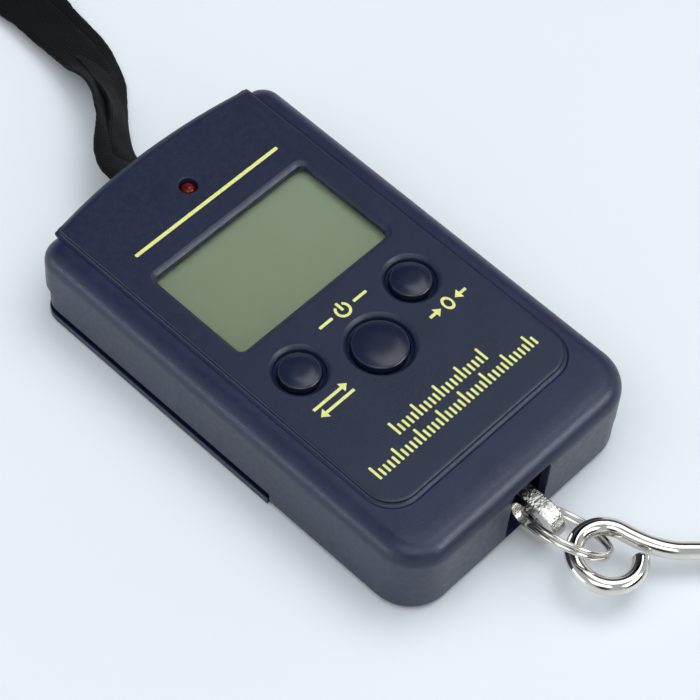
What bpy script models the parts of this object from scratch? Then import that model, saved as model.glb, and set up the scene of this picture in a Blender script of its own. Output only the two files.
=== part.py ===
"""Pocket hanging scale with a strap loop at one end and a hook on a split ring at the other.

Metres, +Z out of the display, +Y towards the strap end, +X to the display's right.
The origin is on the flat rear face, midway across the case.
"""

import math

import bmesh
import bpy
import numpy as np
from mathutils import Euler, Matrix, Vector

MM = 0.001

# Case
CASE_HALF_W = 27.5 * MM
HOOK_END_Y = -46.0 * MM
WING_END_Y = 43.3 * MM  # the case's strap end, either side of the raised panel
REAR_END_TRIM = 0.8 * MM  # the rear shell and the door stop this much shorter at the strap end
CASE_TOP = 17.3 * MM
HOOK_CORNER_R = 8.0 * MM
WING_CORNER_R = 4.2 * MM
FRONT_EDGE_R = 3.7 * MM
REAR_EDGE_R = 1.2 * MM
WALL = 1.6 * MM
GAP = 0.3 * MM  # between pieces that touch
PARTING_Z = 7.6 * MM

# Raised panel
PANEL_HALF_W = 22.1 * MM
PANEL_BOTTOM_Y = -35.2 * MM
PANEL_END_Y = 45.5 * MM
PANEL_BOW_R = 120.0 * MM
PANEL_CORNER_R = 5.0 * MM
PANEL_END_CORNER_R = 2.5 * MM
PANEL_END_EDGE_R = 2.2 * MM
REAR_BOW_HALF_W = 21.0 * MM
PANEL_TOP = 18.0 * MM
PANEL_SKIN = 1.6 * MM
GROOVE_W = 0.9 * MM
GROOVE_DEPTH = 0.6 * MM

# Display
WINDOW = (-17.8 * MM, 3.2 * MM, 17.8 * MM, 24.2 * MM)  # clear opening: low x, low y, high x, high y
BEZEL = 0.8 * MM
BEZEL_DEPTH = 1.6 * MM
LENS_T = 0.6 * MM
LCD_T = 0.8 * MM

# Buttons: name, x, y, cap radius, dish radius
BUTTONS = (
    ("power", 0.0 * MM, -11.6 * MM, 4.95 * MM, 6.35 * MM),
    ("unit", -13.4 * MM, -6.0 * MM, 3.7 * MM, 5.1 * MM),
    ("tare", 13.4 * MM, -6.0 * MM, 3.7 * MM, 5.1 * MM),
)
BUTTON_TOP = 18.4 * MM
BUTTON_SIDE_GAP = 0.25 * MM
DISH_DEPTH = 1.2 * MM
LED_Y = 34.1 * MM
LED_R = 1.5 * MM

# Circuit board
BOARD_Z = 13.2 * MM
BOARD_T = 0.9 * MM

# Battery door and bay
DOOR_Y = -13.1 * MM
DOOR_SIDE = 3.05 * MM
DOOR_T = 1.5 * MM
DECK_T = 1.4 * MM
BAY_HALF_W = 24.9 * MM
BAY_Y = (2.5 * MM, 24.7 * MM)
BAY_WALL = 0.6 * MM
BAY_ROOF_Z = 12.3 * MM
CELL_R = 5.15 * MM
CELL_LENGTH = 44.5 * MM
CELL_Z = 6.9 * MM
CELL_YS = (8.1 * MM, 19.1 * MM)

# Load cell and the steel eye on its free end
BAR = (-5.0 * MM, -42.4 * MM, 2.5 * MM, 5.0 * MM, -15.4 * MM, 11.5 * MM)
BAR_HOLE_YS = (-33.5 * MM, -27.5 * MM)
BAR_HOLE_R = 3.2 * MM
BAR_SCREW_YS = (-22.3 * MM, -17.1 * MM)
EYE_T = 3.3 * MM
EYE_CENTRE = (-48.7 * MM, 6.4 * MM)  # y, z of its round end
EYE_R = 4.4 * MM
EYE_BACK_Y = -36.6 * MM
EYE_HOLE_Z = 6.16 * MM
EYE_HOLE_R = 2.5 * MM
EYE_HOLE_Y = (-48.7 * MM, -46.47 * MM)  # centres of the slotted hole's two round ends
EYE_PIN_Y = -39.6 * MM
EYE_PIN_R = 1.25 * MM
MOUTH_HALF_W = 4.6 * MM  # the opening in the hook end that the eye comes out of
MOUTH_Z = (1.5 * MM, 14.7 * MM)

# Split ring: two turns of wire side by side, with a crossover
RING_CENTRE = Vector((0.826, -53.964, 7.423)) * MM
RING_LONG = Vector((0.3156, -0.9387, -0.1387))  # in its plane, away from the case
RING_SIDE = Vector((-0.6651, -0.3231, 0.6732))  # in its plane, up and to the left
RING_R = 7.85 * MM
RING_WIRE_R = 0.42 * MM
RING_TURN_OFFSET = 0.46 * MM
RING_START = math.radians(165)

# Hook, in its own plane: along its shank, and across it
HOOK_EYE_CENTRE = Vector((2.49, -61.37, 6.38)) * MM
HOOK_ALONG = Vector((0.751, -0.653, -0.092))
HOOK_ACROSS = Vector((0.656, 0.754, 0.0))
HOOK_WIRE_R = 1.55 * MM
HOOK_EYE_R = 5.65 * MM
HOOK_SHANK_OFFSET = 1.0 * MM
HOOK_BOWL_CENTRE = (41.5 * MM, -0.7 * MM)
HOOK_BOWL_R = 10.2 * MM

# Strap
STRAP_PIN_Y = 40.6 * MM
STRAP_PIN_Z = 8.7 * MM
STRAP_PIN_R = 1.2 * MM
STRAP_SLOT_HALF_W = 5.8 * MM
STRAP_SLOT_Z = (4.5 * MM, 12.0 * MM)
STRAP_TUBE_R = 1.0 * MM

CASE_SCREWS = ((-20.5 * MM, -37.6 * MM), (20.5 * MM, -37.6 * MM), (-20.3 * MM, 34.0 * MM), (20.3 * MM, 34.0 * MM))
BOARD_SCREWS = ((-20.0 * MM, -27.5 * MM), (20.0 * MM, -27.5 * MM))
SCREW_R = 1.1 * MM
SCREW_HEAD_R = 2.2 * MM
BOSS_R = 2.7 * MM

# The strap's middle line: out of the slot, round its loop and back (mm)
STRAP_ROUTE = (
    (0.0, 38.1, 10.1), (0.0, 39.4, 11.3), (-0.2, 41.4, 11.5), (-0.8, 45.0, 10.4), (-1.3, 50.0, 9.3),
    (-0.2, 53.4, 8.7), (1.6, 56.0, 8.2), (4.4, 59.3, 7.4), (7.4, 63.0, 6.4), (9.7, 66.2, 5.6),
    (11.7, 69.9, 4.9), (13.3, 74.4, 4.0), (14.5, 80.0, 3.3), (15.1, 87.0, 2.8), (15.4, 94.0, 2.7),
    (15.0, 102.0, 3.1), (13.9, 110.0, 4.1), (13.2, 118.0, 4.5), (15.0, 125.5, 4.5), (19.8, 130.2, 4.5),
    (25.4, 129.6, 4.5), (29.6, 124.8, 4.5), (30.2, 117.5, 4.5), (28.0, 110.0, 3.8), (23.9, 102.0, 2.0),
    (20.2, 95.5, 1.2), (18.3, 88.0, 1.1), (17.7, 81.5, 1.4), (16.8, 76.6, 2.2), (15.3, 72.3, 2.9),
    (13.2, 68.1, 3.6), (10.6, 63.9, 4.2), (7.6, 59.8, 4.9), (4.8, 56.4, 5.5), (2.6, 52.8, 6.0),
    (1.2, 49.0, 6.2), (0.3, 45.0, 6.2), (0.0, 41.2, 5.9), (0.0, 39.4, 6.1), (0.0, 38.1, 7.2),
)
STRAP_TUBE_POINTS = 76


# Helpers

def make_collection(name):
    group = bpy.data.collections.new(name)
    bpy.context.scene.collection.children.link(group)
    return group


def make_material(name, colour, roughness, metallic=0.0, alpha=1.0):
    material = bpy.data.materials.new(name)
    material.use_nodes = True
    shader = material.node_tree.nodes["Principled BSDF"]
    shader.inputs["Base Color"].default_value = (*colour, 1.0)
    shader.inputs["Roughness"].default_value = roughness
    shader.inputs["Metallic"].default_value = metallic
    shader.inputs["Alpha"].default_value = alpha
    return material


def place(name, mesh, material=None):
    """A part where a material is given, or else a cutter."""
    obj = bpy.data.objects.new(name, mesh)
    (PARTS if material else CUTTERS).objects.link(obj)
    if material:
        mesh.materials.clear()
        mesh.materials.append(material)
    else:
        obj.hide_render = True
        obj.display_type = "WIRE"
    return obj


def mesh_from(bm, name, smooth_angle=math.radians(35)):
    bmesh.ops.recalc_face_normals(bm, faces=bm.faces)
    mesh = bpy.data.meshes.new(name)
    bm.to_mesh(mesh)
    bm.free()
    mesh.shade_smooth()
    mesh.set_sharp_from_angle(angle=smooth_angle)
    return mesh


def arc(cx, cy, radius, start, end, steps):
    """Points on a circle from start to end, in degrees."""
    angles = np.radians(np.linspace(start, end, steps + 1))
    return [(cx + radius * math.cos(a), cy + radius * math.sin(a)) for a in angles]


def box_outline(x0, y0, x1, y1, radius=0.0, steps=4):
    if radius == 0.0:
        return [(x0, y0), (x1, y0), (x1, y1), (x0, y1)]
    return (
        arc(x0 + radius, y0 + radius, radius, 180, 270, steps)
        + arc(x1 - radius, y0 + radius, radius, 270, 360, steps)
        + arc(x1 - radius, y1 - radius, radius, 0, 90, steps)
        + arc(x0 + radius, y1 - radius, radius, 90, 180, steps)
    )


def slab_mesh(name, outline, z0, z1, holes=(), top=0.0, bottom=0.0, flare=0.0, steps=4, turn=None):
    """A flat outline filled from z0 to z1, with its rims rounded or its top flared outwards."""
    curve = bpy.data.curves.new(name, "CURVE")
    curve.dimensions = "2D"
    curve.fill_mode = "BOTH"
    curve.extrude = (z1 - z0) / 2
    for points in (outline, *holes):
        spline = curve.splines.new("POLY")
        spline.points.add(len(points) - 1)
        spline.use_cyclic_u = True
        for point, (x, y) in zip(spline.points, points):
            point.co = (x, y, 0.0, 1.0)
    flat = bpy.data.objects.new(name, curve)
    mesh = bpy.data.meshes.new_from_object(flat)
    bpy.data.objects.remove(flat)
    bpy.data.curves.remove(curve)
    bm = bmesh.new()
    bm.from_mesh(mesh)
    bpy.data.meshes.remove(mesh)
    bmesh.ops.translate(bm, verts=bm.verts, vec=(0, 0, (z0 + z1) / 2))
    bmesh.ops.remove_doubles(bm, verts=bm.verts, dist=1e-6)
    flat_angle = math.radians(0.5)
    bmesh.ops.dissolve_limit(bm, angle_limit=flat_angle, verts=bm.verts, edges=bm.edges)
    for level, width in ((z1, top), (z0, bottom)):
        if width:
            rim = [e for e in bm.edges if all(abs(v.co.z - level) < 1e-6 for v in e.verts)]
            bmesh.ops.bevel(bm, geom=rim, offset=width, segments=steps, profile=0.5, affect="EDGES")
    if flare:
        middle = Vector(np.mean(outline, axis=0))
        for v in bm.verts:
            if abs(v.co.z - z1) < 1e-6:
                v.co.x += math.copysign(flare, v.co.x - middle.x)
                v.co.y += math.copysign(flare, v.co.y - middle.y)
    if turn:
        bmesh.ops.transform(bm, matrix=turn, verts=bm.verts)
    return mesh_from(bm, name)


def box_mesh(name, low, high):
    bm = bmesh.new()
    bmesh.ops.create_cube(bm, size=1.0)
    low, high = Vector(low), Vector(high)
    size = high - low
    bmesh.ops.scale(bm, vec=size, verts=bm.verts)
    bmesh.ops.translate(bm, vec=(low + high) / 2, verts=bm.verts)
    return mesh_from(bm, name)


def rod_mesh(name, start, end, radius, steps=20):
    """A straight round rod between two points."""
    bm = bmesh.new()
    start, end = Vector(start), Vector(end)
    length = (end - start).length
    bmesh.ops.create_cone(bm, cap_ends=True, segments=steps, radius1=radius, radius2=radius, depth=length)
    turn = (end - start).to_track_quat("Z", "Y").to_matrix().to_4x4()
    bmesh.ops.transform(bm, matrix=Matrix.Translation((start + end) / 2) @ turn, verts=bm.verts)
    return mesh_from(bm, name)


def turned(name, profile, location, material=None, steps=28, rotation=(0.0, 0.0, 0.0)):
    """A solid of revolution about its own Z; the profile's (radius, height) points run top to bottom."""
    mesh = bpy.data.meshes.new(name)
    edges = [(i, i + 1) for i in range(len(profile) - 1)]
    mesh.from_pydata([(r, 0.0, z) for r, z in profile], edges, [])
    obj = place(name, mesh, material)
    obj.location = location
    obj.rotation_euler = rotation
    screw = obj.modifiers.new("turn", "SCREW")
    screw.steps = steps
    screw.render_steps = steps
    screw.use_merge_vertices = True
    screw.merge_threshold = 1e-6
    screw.use_smooth_shade = True
    return obj


def wire(name, points, radius, material, resolution=2):
    """A round wire along a list of points, with flat closed ends."""
    curve = bpy.data.curves.new(name, "CURVE")
    curve.dimensions = "3D"
    curve.bevel_depth = radius
    curve.bevel_resolution = resolution
    curve.use_fill_caps = True
    spline = curve.splines.new("POLY")
    spline.points.add(len(points) - 1)
    for point, place_at in zip(spline.points, points):
        point.co = (*place_at, 1.0)
    return place(name, curve, material)


def smooth_route(points, count):
    """Evenly spaced points on a Catmull-Rom curve through the route's own points."""
    knots = np.array(points, float)
    padded = np.vstack([2 * knots[0] - knots[1], knots, 2 * knots[-1] - knots[-2]])
    fine = []
    for i in range(1, len(padded) - 2):
        before, a, b, after = padded[i - 1:i + 3]
        for t in np.linspace(0.0, 1.0, 12, endpoint=False):
            fine.append(
                0.5 * (2 * a + (b - before) * t + (2 * before - 5 * a + 4 * b - after) * t**2
                       + (3 * a - before - 3 * b + after) * t**3)
            )
    fine = np.array(fine + [knots[-1]])
    along = np.concatenate([[0.0], np.cumsum(np.linalg.norm(np.diff(fine, axis=0), axis=1))])
    at = np.linspace(0.0, along[-1], count)
    return np.stack([np.interp(at, along, fine[:, k]) for k in range(3)], axis=1)


def boolean(obj, other, operation="DIFFERENCE"):
    modifier = obj.modifiers.new(other.name, "BOOLEAN")
    modifier.object = other
    modifier.operation = operation
    modifier.solver = "EXACT"


def cut_box(obj, name, low, high):
    boolean(obj, place(name, box_mesh(name, low, high)))


def add_box(obj, name, low, high):
    boolean(obj, place(name, box_mesh(name, low, high)), "UNION")


def cut_slab(obj, name, outline, z0, z1, **options):
    boolean(obj, place(name, slab_mesh(name, outline, z0, z1, **options)))


def add_slab(obj, name, outline, z0, z1, **options):
    boolean(obj, place(name, slab_mesh(name, outline, z0, z1, **options)), "UNION")


def cut_rod(obj, name, start, end, radius, steps=20):
    boolean(obj, place(name, rod_mesh(name, start, end, radius, steps)))


def add_rod(obj, name, start, end, radius, steps=20):
    boolean(obj, place(name, rod_mesh(name, start, end, radius, steps)), "UNION")


# Outlines seen from above

def case_outline(inset=0.0):
    """The case without its panel."""
    hook_r = HOOK_CORNER_R - inset
    wing_r = max(WING_CORNER_R - inset, 0.8 * MM)
    x = CASE_HALF_W - inset
    low = HOOK_END_Y + inset
    high = WING_END_Y - inset
    return (
        arc(-x + hook_r, low + hook_r, hook_r, 180, 270, 9)
        + arc(x - hook_r, low + hook_r, hook_r, 270, 360, 9)
        + arc(x - wing_r, high - wing_r, wing_r, 0, 90, 6)
        + arc(-x + wing_r, high - wing_r, wing_r, 90, 180, 6)
    )


def rear_outline(inset=0.0):
    """The rear shell and the door: as the case, with the strap end bowed and set in a little."""
    hook_r = HOOK_CORNER_R - inset
    wing_r = max(WING_CORNER_R - inset, 0.8 * MM)
    x = CASE_HALF_W - inset
    low = HOOK_END_Y + inset
    wing_y = WING_END_Y - REAR_END_TRIM - inset - wing_r
    bow_centre_y = PANEL_END_Y - REAR_END_TRIM - PANEL_BOW_R
    bow_half = math.degrees(math.asin(REAR_BOW_HALF_W / PANEL_BOW_R))
    return (
        arc(-x + hook_r, low + hook_r, hook_r, 180, 270, 9)
        + arc(x - hook_r, low + hook_r, hook_r, 270, 360, 9)
        + arc(x - wing_r, wing_y, wing_r, 0, 76, 5)
        + arc(0.0, bow_centre_y, PANEL_BOW_R - inset, 90 - bow_half, 90 + bow_half, 12)
        + arc(-x + wing_r, wing_y, wing_r, 104, 180, 5)
    )


def panel_outline(grow=0.0, half_w=PANEL_HALF_W, low=PANEL_BOTTOM_Y):
    """The raised panel, whose strap end is bowed."""
    x = half_w + grow
    corner_r = max(PANEL_CORNER_R + grow, 0.5 * MM)
    end_r = PANEL_END_CORNER_R
    bow_centre_y = PANEL_END_Y + grow - PANEL_BOW_R
    bow_half = math.degrees(math.asin((x - end_r) / PANEL_BOW_R))
    end_y = bow_centre_y + PANEL_BOW_R * math.cos(math.radians(bow_half)) - end_r
    return (
        arc(-x + corner_r, low - grow + corner_r, corner_r, 180, 270, 7)
        + arc(x - corner_r, low - grow + corner_r, corner_r, 270, 360, 7)
        + arc(x - end_r, end_y, end_r, 0, 80, 4)
        + arc(0.0, bow_centre_y, PANEL_BOW_R, 90 - bow_half, 90 + bow_half, 14)[1:-1]
        + arc(-x + end_r, end_y, end_r, 100, 180, 4)
    )


# Case

def build_front_shell():
    shell = place(
        "front_shell",
        slab_mesh("front_shell", case_outline(), PARTING_Z + GAP / 2, CASE_TOP, top=FRONT_EDGE_R, steps=5),
        NAVY,
    )
    groove = panel_outline(grow=GROOVE_W)
    cut_slab(shell, "panel_groove", groove, CASE_TOP - GROOVE_DEPTH, CASE_TOP + 2 * MM)
    base = PARTING_Z + GAP / 2
    panel = place("raised_panel", slab_mesh("raised_panel", panel_outline(), base, PANEL_TOP, top=0.5 * MM, steps=3))
    wide = panel_outline(half_w=30 * MM, low=-50 * MM)
    panel_end = slab_mesh("panel_end_round", wide, base - 2 * MM, PANEL_TOP, top=PANEL_END_EDGE_R, steps=5)
    end_round = place("panel_end_round", panel_end)
    end_round.location.z = 0.01 * MM
    boolean(panel, end_round, "INTERSECT")
    boolean(shell, panel, "UNION")
    under = PARTING_Z - 1 * MM
    cut_slab(shell, "front_room", case_outline(WALL), under, CASE_TOP - WALL - GROOVE_DEPTH)
    cut_slab(shell, "panel_room", panel_outline(grow=-WALL), under, PANEL_TOP - PANEL_SKIN)
    cut_slab(shell, "window_bezel", box_outline(*WINDOW, 0.6 * MM), PANEL_TOP - BEZEL_DEPTH - 0.2 * MM,
             PANEL_TOP + 0.01 * MM, flare=BEZEL)
    for name, x, y, cap_r, dish_r in BUTTONS:
        hole_r = cap_r + BUTTON_SIDE_GAP
        dish = [(0, 0.4 * MM), (dish_r, 0.4 * MM), (dish_r, 0), (hole_r, -DISH_DEPTH), (hole_r, -3 * MM), (0, -3 * MM)]
        boolean(shell, turned(f"{name}_dish", dish, (x, y, PANEL_TOP)))
    cut_rod(shell, "led_hole", (0, LED_Y, PANEL_TOP - 3 * MM), (0, LED_Y, PANEL_TOP + 1 * MM), LED_R + 0.2 * MM)
    cut_box(shell, "front_mouth", (-MOUTH_HALF_W, HOOK_END_Y - 2 * MM, under),
            (MOUTH_HALF_W, HOOK_END_Y + 3 * MM, MOUTH_Z[1]))
    cut_box(shell, "front_strap_slot", (-STRAP_SLOT_HALF_W, WING_END_Y - 3 * MM, under),
            (STRAP_SLOT_HALF_W, PANEL_END_Y + 2 * MM, STRAP_SLOT_Z[1]))
    for i, (x, y) in enumerate(CASE_SCREWS, 1):
        add_rod(shell, f"case_boss_{i}", (x, y, PARTING_Z + 1 * MM), (x, y, CASE_TOP - 2 * MM), BOSS_R)
        cut_rod(shell, f"case_boss_bore_{i}", (x, y, PARTING_Z), (x, y, PARTING_Z + 6.2 * MM), SCREW_R + 0.15 * MM, 12)
    for i, (x, y) in enumerate(BOARD_SCREWS, 1):
        base = BOARD_Z + BOARD_T + GAP
        add_rod(shell, f"board_post_{i}", (x, y, base), (x, y, PANEL_TOP - 1.4 * MM), 2.2 * MM, 16)
        cut_rod(shell, f"board_post_bore_{i}", (x, y, base - 1 * MM), (x, y, base + 1.5 * MM), 0.9 * MM, 12)
    return shell


def build_rear_shell():
    top = PARTING_Z - GAP / 2
    shell = place(
        "rear_shell",
        slab_mesh("rear_shell", rear_outline(), 0.0, top, bottom=REAR_EDGE_R, steps=4),
        NAVY,
    )
    deck = DOOR_SIDE + GAP
    cut_box(shell, "door_room", (-CASE_HALF_W - 2 * MM, DOOR_Y - GAP, -1 * MM),
            (CASE_HALF_W + 2 * MM, PANEL_END_Y + 2 * MM, deck))
    room = rear_outline(WALL)
    cut_slab(shell, "rear_room", room, deck + DECK_T, top + 1 * MM)
    hook_room = slab_mesh("hook_room", room, WALL, deck + 3 * MM)
    hook_room = place("hook_room", hook_room)
    keep = place("hook_room_limit", box_mesh("hook_room_limit", (-40 * MM, -60 * MM, -1 * MM),
                                             (40 * MM, DOOR_Y - GAP - WALL, 20 * MM)))
    boolean(hook_room, keep, "INTERSECT")
    boolean(shell, hook_room)
    y0, y1 = BAY_Y
    outer = box_outline(-BAY_HALF_W - BAY_WALL, y0 - BAY_WALL, BAY_HALF_W + BAY_WALL, y1 + BAY_WALL)
    add_slab(shell, "battery_bay", outer, deck + 0.5 * MM, BAY_ROOF_Z + BAY_WALL)
    cut_box(shell, "battery_bay_room", (-BAY_HALF_W, y0, -1 * MM), (BAY_HALF_W, y1, BAY_ROOF_Z))
    cut_box(shell, "rear_mouth", (-MOUTH_HALF_W, HOOK_END_Y - 2 * MM, MOUTH_Z[0]),
            (MOUTH_HALF_W, HOOK_END_Y + 3 * MM, PARTING_Z + 1 * MM))
    cut_box(shell, "rear_strap_slot", (-STRAP_SLOT_HALF_W, WING_END_Y - 3 * MM, STRAP_SLOT_Z[0]),
            (STRAP_SLOT_HALF_W, PANEL_END_Y + 2 * MM, PARTING_Z + 1 * MM))
    # Cheeks that hold the strap's pin
    for side, x in (("left", -STRAP_SLOT_HALF_W - 1.4 * MM), ("right", STRAP_SLOT_HALF_W + 1.4 * MM)):
        add_box(shell, f"pin_cheek_{side}", (x - 1.2 * MM, STRAP_PIN_Y - 3 * MM, deck + 0.5 * MM),
                (x + 1.2 * MM, STRAP_PIN_Y + 2 * MM, STRAP_PIN_Z + 2.6 * MM))
    pin_half = STRAP_SLOT_HALF_W + 2.0 * MM
    cut_rod(shell, "strap_pin_bore", (-pin_half, STRAP_PIN_Y, STRAP_PIN_Z), (pin_half, STRAP_PIN_Y, STRAP_PIN_Z),
            STRAP_PIN_R + 0.25 * MM, 16)
    for i, (x, y) in enumerate(CASE_SCREWS, 1):
        floor = 0.0 if y < DOOR_Y else deck
        add_rod(shell, f"case_pillar_{i}", (x, y, floor + 0.4 * MM), (x, y, PARTING_Z), BOSS_R)
        cut_rod(shell, f"case_counterbore_{i}", (x, y, floor - 1 * MM), (x, y, floor + 2.2 * MM),
                SCREW_HEAD_R + 0.25 * MM)
        cut_rod(shell, f"case_screw_bore_{i}", (x, y, floor), (x, y, PARTING_Z + 1 * MM), SCREW_R + 0.25 * MM, 12)
    # Pad under the load cell's fixed end
    add_box(shell, "load_cell_pad", (-5.5 * MM, BAR_SCREW_YS[0] - 2.6 * MM, 0.6 * MM), (5.5 * MM, BAR[4] + 1 * MM, BAR[2] - GAP))
    for i, y in enumerate(BAR_SCREW_YS, 1):
        cut_rod(shell, f"bar_counterbore_{i}", (0, y, -1 * MM), (0, y, 1.1 * MM), SCREW_HEAD_R + 0.2 * MM)
        cut_rod(shell, f"bar_screw_bore_{i}", (0, y, 0), (0, y, 4 * MM), SCREW_R + 0.25 * MM, 12)
    return shell


def build_battery_door():
    door = place(
        "battery_door",
        slab_mesh("battery_door", rear_outline(), 0.0, DOOR_SIDE, bottom=REAR_EDGE_R, steps=4),
        NAVY,
    )
    half = CASE_HALF_W + 1 * MM
    limit = box_outline(-half, DOOR_Y, half, PANEL_END_Y + 3 * MM, 1.0 * MM)
    boolean(door, place("door_limit", slab_mesh("door_limit", limit, -1 * MM, 6 * MM)), "INTERSECT")
    inner = place("door_room", slab_mesh("door_room", rear_outline(WALL), DOOR_T, 6 * MM))
    keep = place("door_room_limit", box_mesh("door_room_limit", (-40 * MM, DOOR_Y + WALL, 0), (40 * MM, 60 * MM, 10 * MM)))
    boolean(inner, keep, "INTERSECT")
    boolean(door, inner)
    # Grip ridges across the back, as shallow grooves
    for i in range(5):
        y = 27.0 * MM + i * 1.8 * MM
        cut_box(door, f"grip_groove_{i + 1}", (-8 * MM, y, -1 * MM), (8 * MM, y + 0.8 * MM, 0.35 * MM))
    return door


# Display

def build_display():
    x0, y0, x1, y1 = WINDOW
    lens_top = PANEL_TOP - BEZEL_DEPTH - 0.15 * MM
    lens_low = lens_top - LENS_T
    place("lcd_lens", box_mesh("lcd_lens", (x0 - 1.2 * MM, y0 - 1.2 * MM, lens_low), (x1 + 1.2 * MM, y1 + 1.2 * MM, lens_top)),
          CLEAR)
    glass_top = lens_low - 0.25 * MM
    glass_low = glass_top - LCD_T
    place("lcd_panel", box_mesh("lcd_panel", (x0 - 1.3 * MM, y0 - 2.2 * MM, glass_low), (x1 + 1.3 * MM, y1 + 1.3 * MM, glass_top)),
          LCD_GREEN)
    board_top = BOARD_Z + BOARD_T
    place("zebra_strip", box_mesh("zebra_strip", (x0, y0 - 2.0 * MM, board_top + 0.1 * MM), (x1, y0 - 0.6 * MM, glass_low - 0.1 * MM)),
          ELASTOMER)


# Circuit board and what is on it

def build_board():
    top = BOARD_Z + BOARD_T
    board = place(
        "circuit_board",
        slab_mesh("circuit_board", box_outline(-23.2 * MM, -31.5 * MM, 23.2 * MM, 29.0 * MM, 1.5 * MM), BOARD_Z, top),
        BOARD_GREEN,
    )
    add_box(board, "board_tab", (-12 * MM, 27 * MM, BOARD_Z), (12 * MM, 38.2 * MM, top))
    for i, (x, y) in enumerate(BOARD_SCREWS, 1):
        cut_rod(board, f"board_hole_{i}", (x, y, BOARD_Z - 1 * MM), (x, y, top + 1 * MM), 1.1 * MM, 14)
    chip = [(0, -0.25 * MM), (4.4 * MM, -0.25 * MM), (4.2 * MM, -0.8 * MM), (3.2 * MM, -1.35 * MM),
            (1.6 * MM, -1.7 * MM), (0, -1.8 * MM)]
    turned("controller_chip", chip, (11 * MM, -20 * MM, BOARD_Z), EPOXY, steps=20)
    for name, x, y, cap_r, _ in BUTTONS:
        dome_r = 0.6 * cap_r
        dome = [(0, 0.45 * MM), (0.5 * dome_r, 0.38 * MM), (0.85 * dome_r, 0.2 * MM), (dome_r, 0.1 * MM),
                (dome_r, 0.05 * MM), (0, 0.05 * MM)]
        turned(f"{name}_switch_dome", dome, (x, y, top), STEEL, steps=20)
    for i, (x, y) in enumerate(BOARD_SCREWS, 1):
        profile = [(0, 2.0 * MM), (0.7 * MM, 2.0 * MM), (0.7 * MM, -0.25 * MM), (1.7 * MM, -0.25 * MM),
                   (1.5 * MM, -1.1 * MM), (0.6 * MM, -1.3 * MM), (0, -1.3 * MM)]
        turned(f"board_screw_{i}", profile, (x, y, BOARD_Z), ZINC, steps=16)


def build_led():
    base = BOARD_Z + BOARD_T + GAP
    height = PANEL_TOP - 0.15 * MM - base
    dome = [(LED_R * math.sin(a), height - LED_R + LED_R * math.cos(a)) for a in np.radians(np.linspace(0, 90, 7))]
    profile = [*dome, (LED_R, 1.0 * MM), (LED_R + 0.35 * MM, 1.0 * MM), (LED_R + 0.35 * MM, 0), (0, 0)]
    turned("indicator_led", profile, (0, LED_Y, base), LED_RED, steps=20)


def build_buttons():
    """Each cap stands on its own slide axis, with a flange under the panel."""
    for name, x, y, cap_r, _ in BUTTONS:
        flange_top = -2.85 * MM  # heights are from the cap's crown
        foot = -3.3 * MM
        edge = 0.75 * MM
        crown = [(0, 0), (0.5 * cap_r, -0.08 * MM)]
        shoulder = [(cap_r - edge + edge * math.sin(a), -0.3 * MM - edge + edge * math.cos(a))
                    for a in np.radians(np.linspace(0, 90, 6))]
        profile = [*crown, *shoulder, (cap_r, flange_top + 0.35 * MM), (cap_r + 0.7 * MM, flange_top + 0.35 * MM),
                   (cap_r + 0.7 * MM, foot + 0.05 * MM), (1.0 * MM, foot + 0.05 * MM), (1.0 * MM, foot), (0, foot)]
        turned(f"{name}_button", profile, (x, y, BUTTON_TOP), NAVY, steps=32)


# Batteries and their contacts

def build_batteries():
    reach = BAY_HALF_W - 0.9 * MM
    nub_r = 1.8 * MM
    nub = 1.0 * MM
    for i, (y, side) in enumerate(zip(CELL_YS, (1, -1)), 1):
        profile = [(0, 0), (nub_r, 0), (nub_r, -nub), (CELL_R - 0.5 * MM, -nub), (CELL_R, -nub - 0.5 * MM),
                   (CELL_R, -CELL_LENGTH + 0.4 * MM), (CELL_R - 0.4 * MM, -CELL_LENGTH), (0, -CELL_LENGTH)]
        turned(f"battery_{i}", profile, (side * reach, y, CELL_Z), CELL_WRAP, steps=28,
               rotation=(0.0, side * math.pi / 2, 0.0))
    plate_x = BAY_HALF_W - 0.6 * MM
    high = BAY_ROOF_Z - 0.3 * MM
    low = 3.8 * MM
    plates = (
        ("contact_negative", -1, (CELL_YS[0] - 3.5 * MM, CELL_YS[0] + 3.5 * MM)),
        ("contact_positive", -1, (CELL_YS[1] - 3.5 * MM, CELL_YS[1] + 3.5 * MM)),
        ("contact_bridge", 1, (CELL_YS[0] - 3.5 * MM, CELL_YS[1] + 3.5 * MM)),
    )
    for name, side, (y0, y1) in plates:
        xs = sorted((side * plate_x, side * (plate_x + 0.3 * MM)))
        place(name, box_mesh(name, (xs[0], y0, low), (xs[1], y1, high)), STEEL)
    length = 2 * BAY_HALF_W - 0.9 * MM - 0.9 * MM - CELL_LENGTH - 0.8 * MM
    for name, side, y in (("negative_spring", -1, CELL_YS[0]), ("bridge_spring", 1, CELL_YS[1])):
        turns, steps = 3.5, 14
        points = []
        for k in range(int(turns * steps) + 1):
            t = k / (turns * steps)
            angle = 2 * math.pi * turns * t
            radius = (3.4 - 1.4 * t) * MM
            x = side * (plate_x - 0.5 * MM - length * t)
            points.append((x, y + radius * math.cos(angle), CELL_Z + radius * math.sin(angle)))
        wire(name, points, 0.22 * MM, STEEL, resolution=1)


# Load cell

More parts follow.
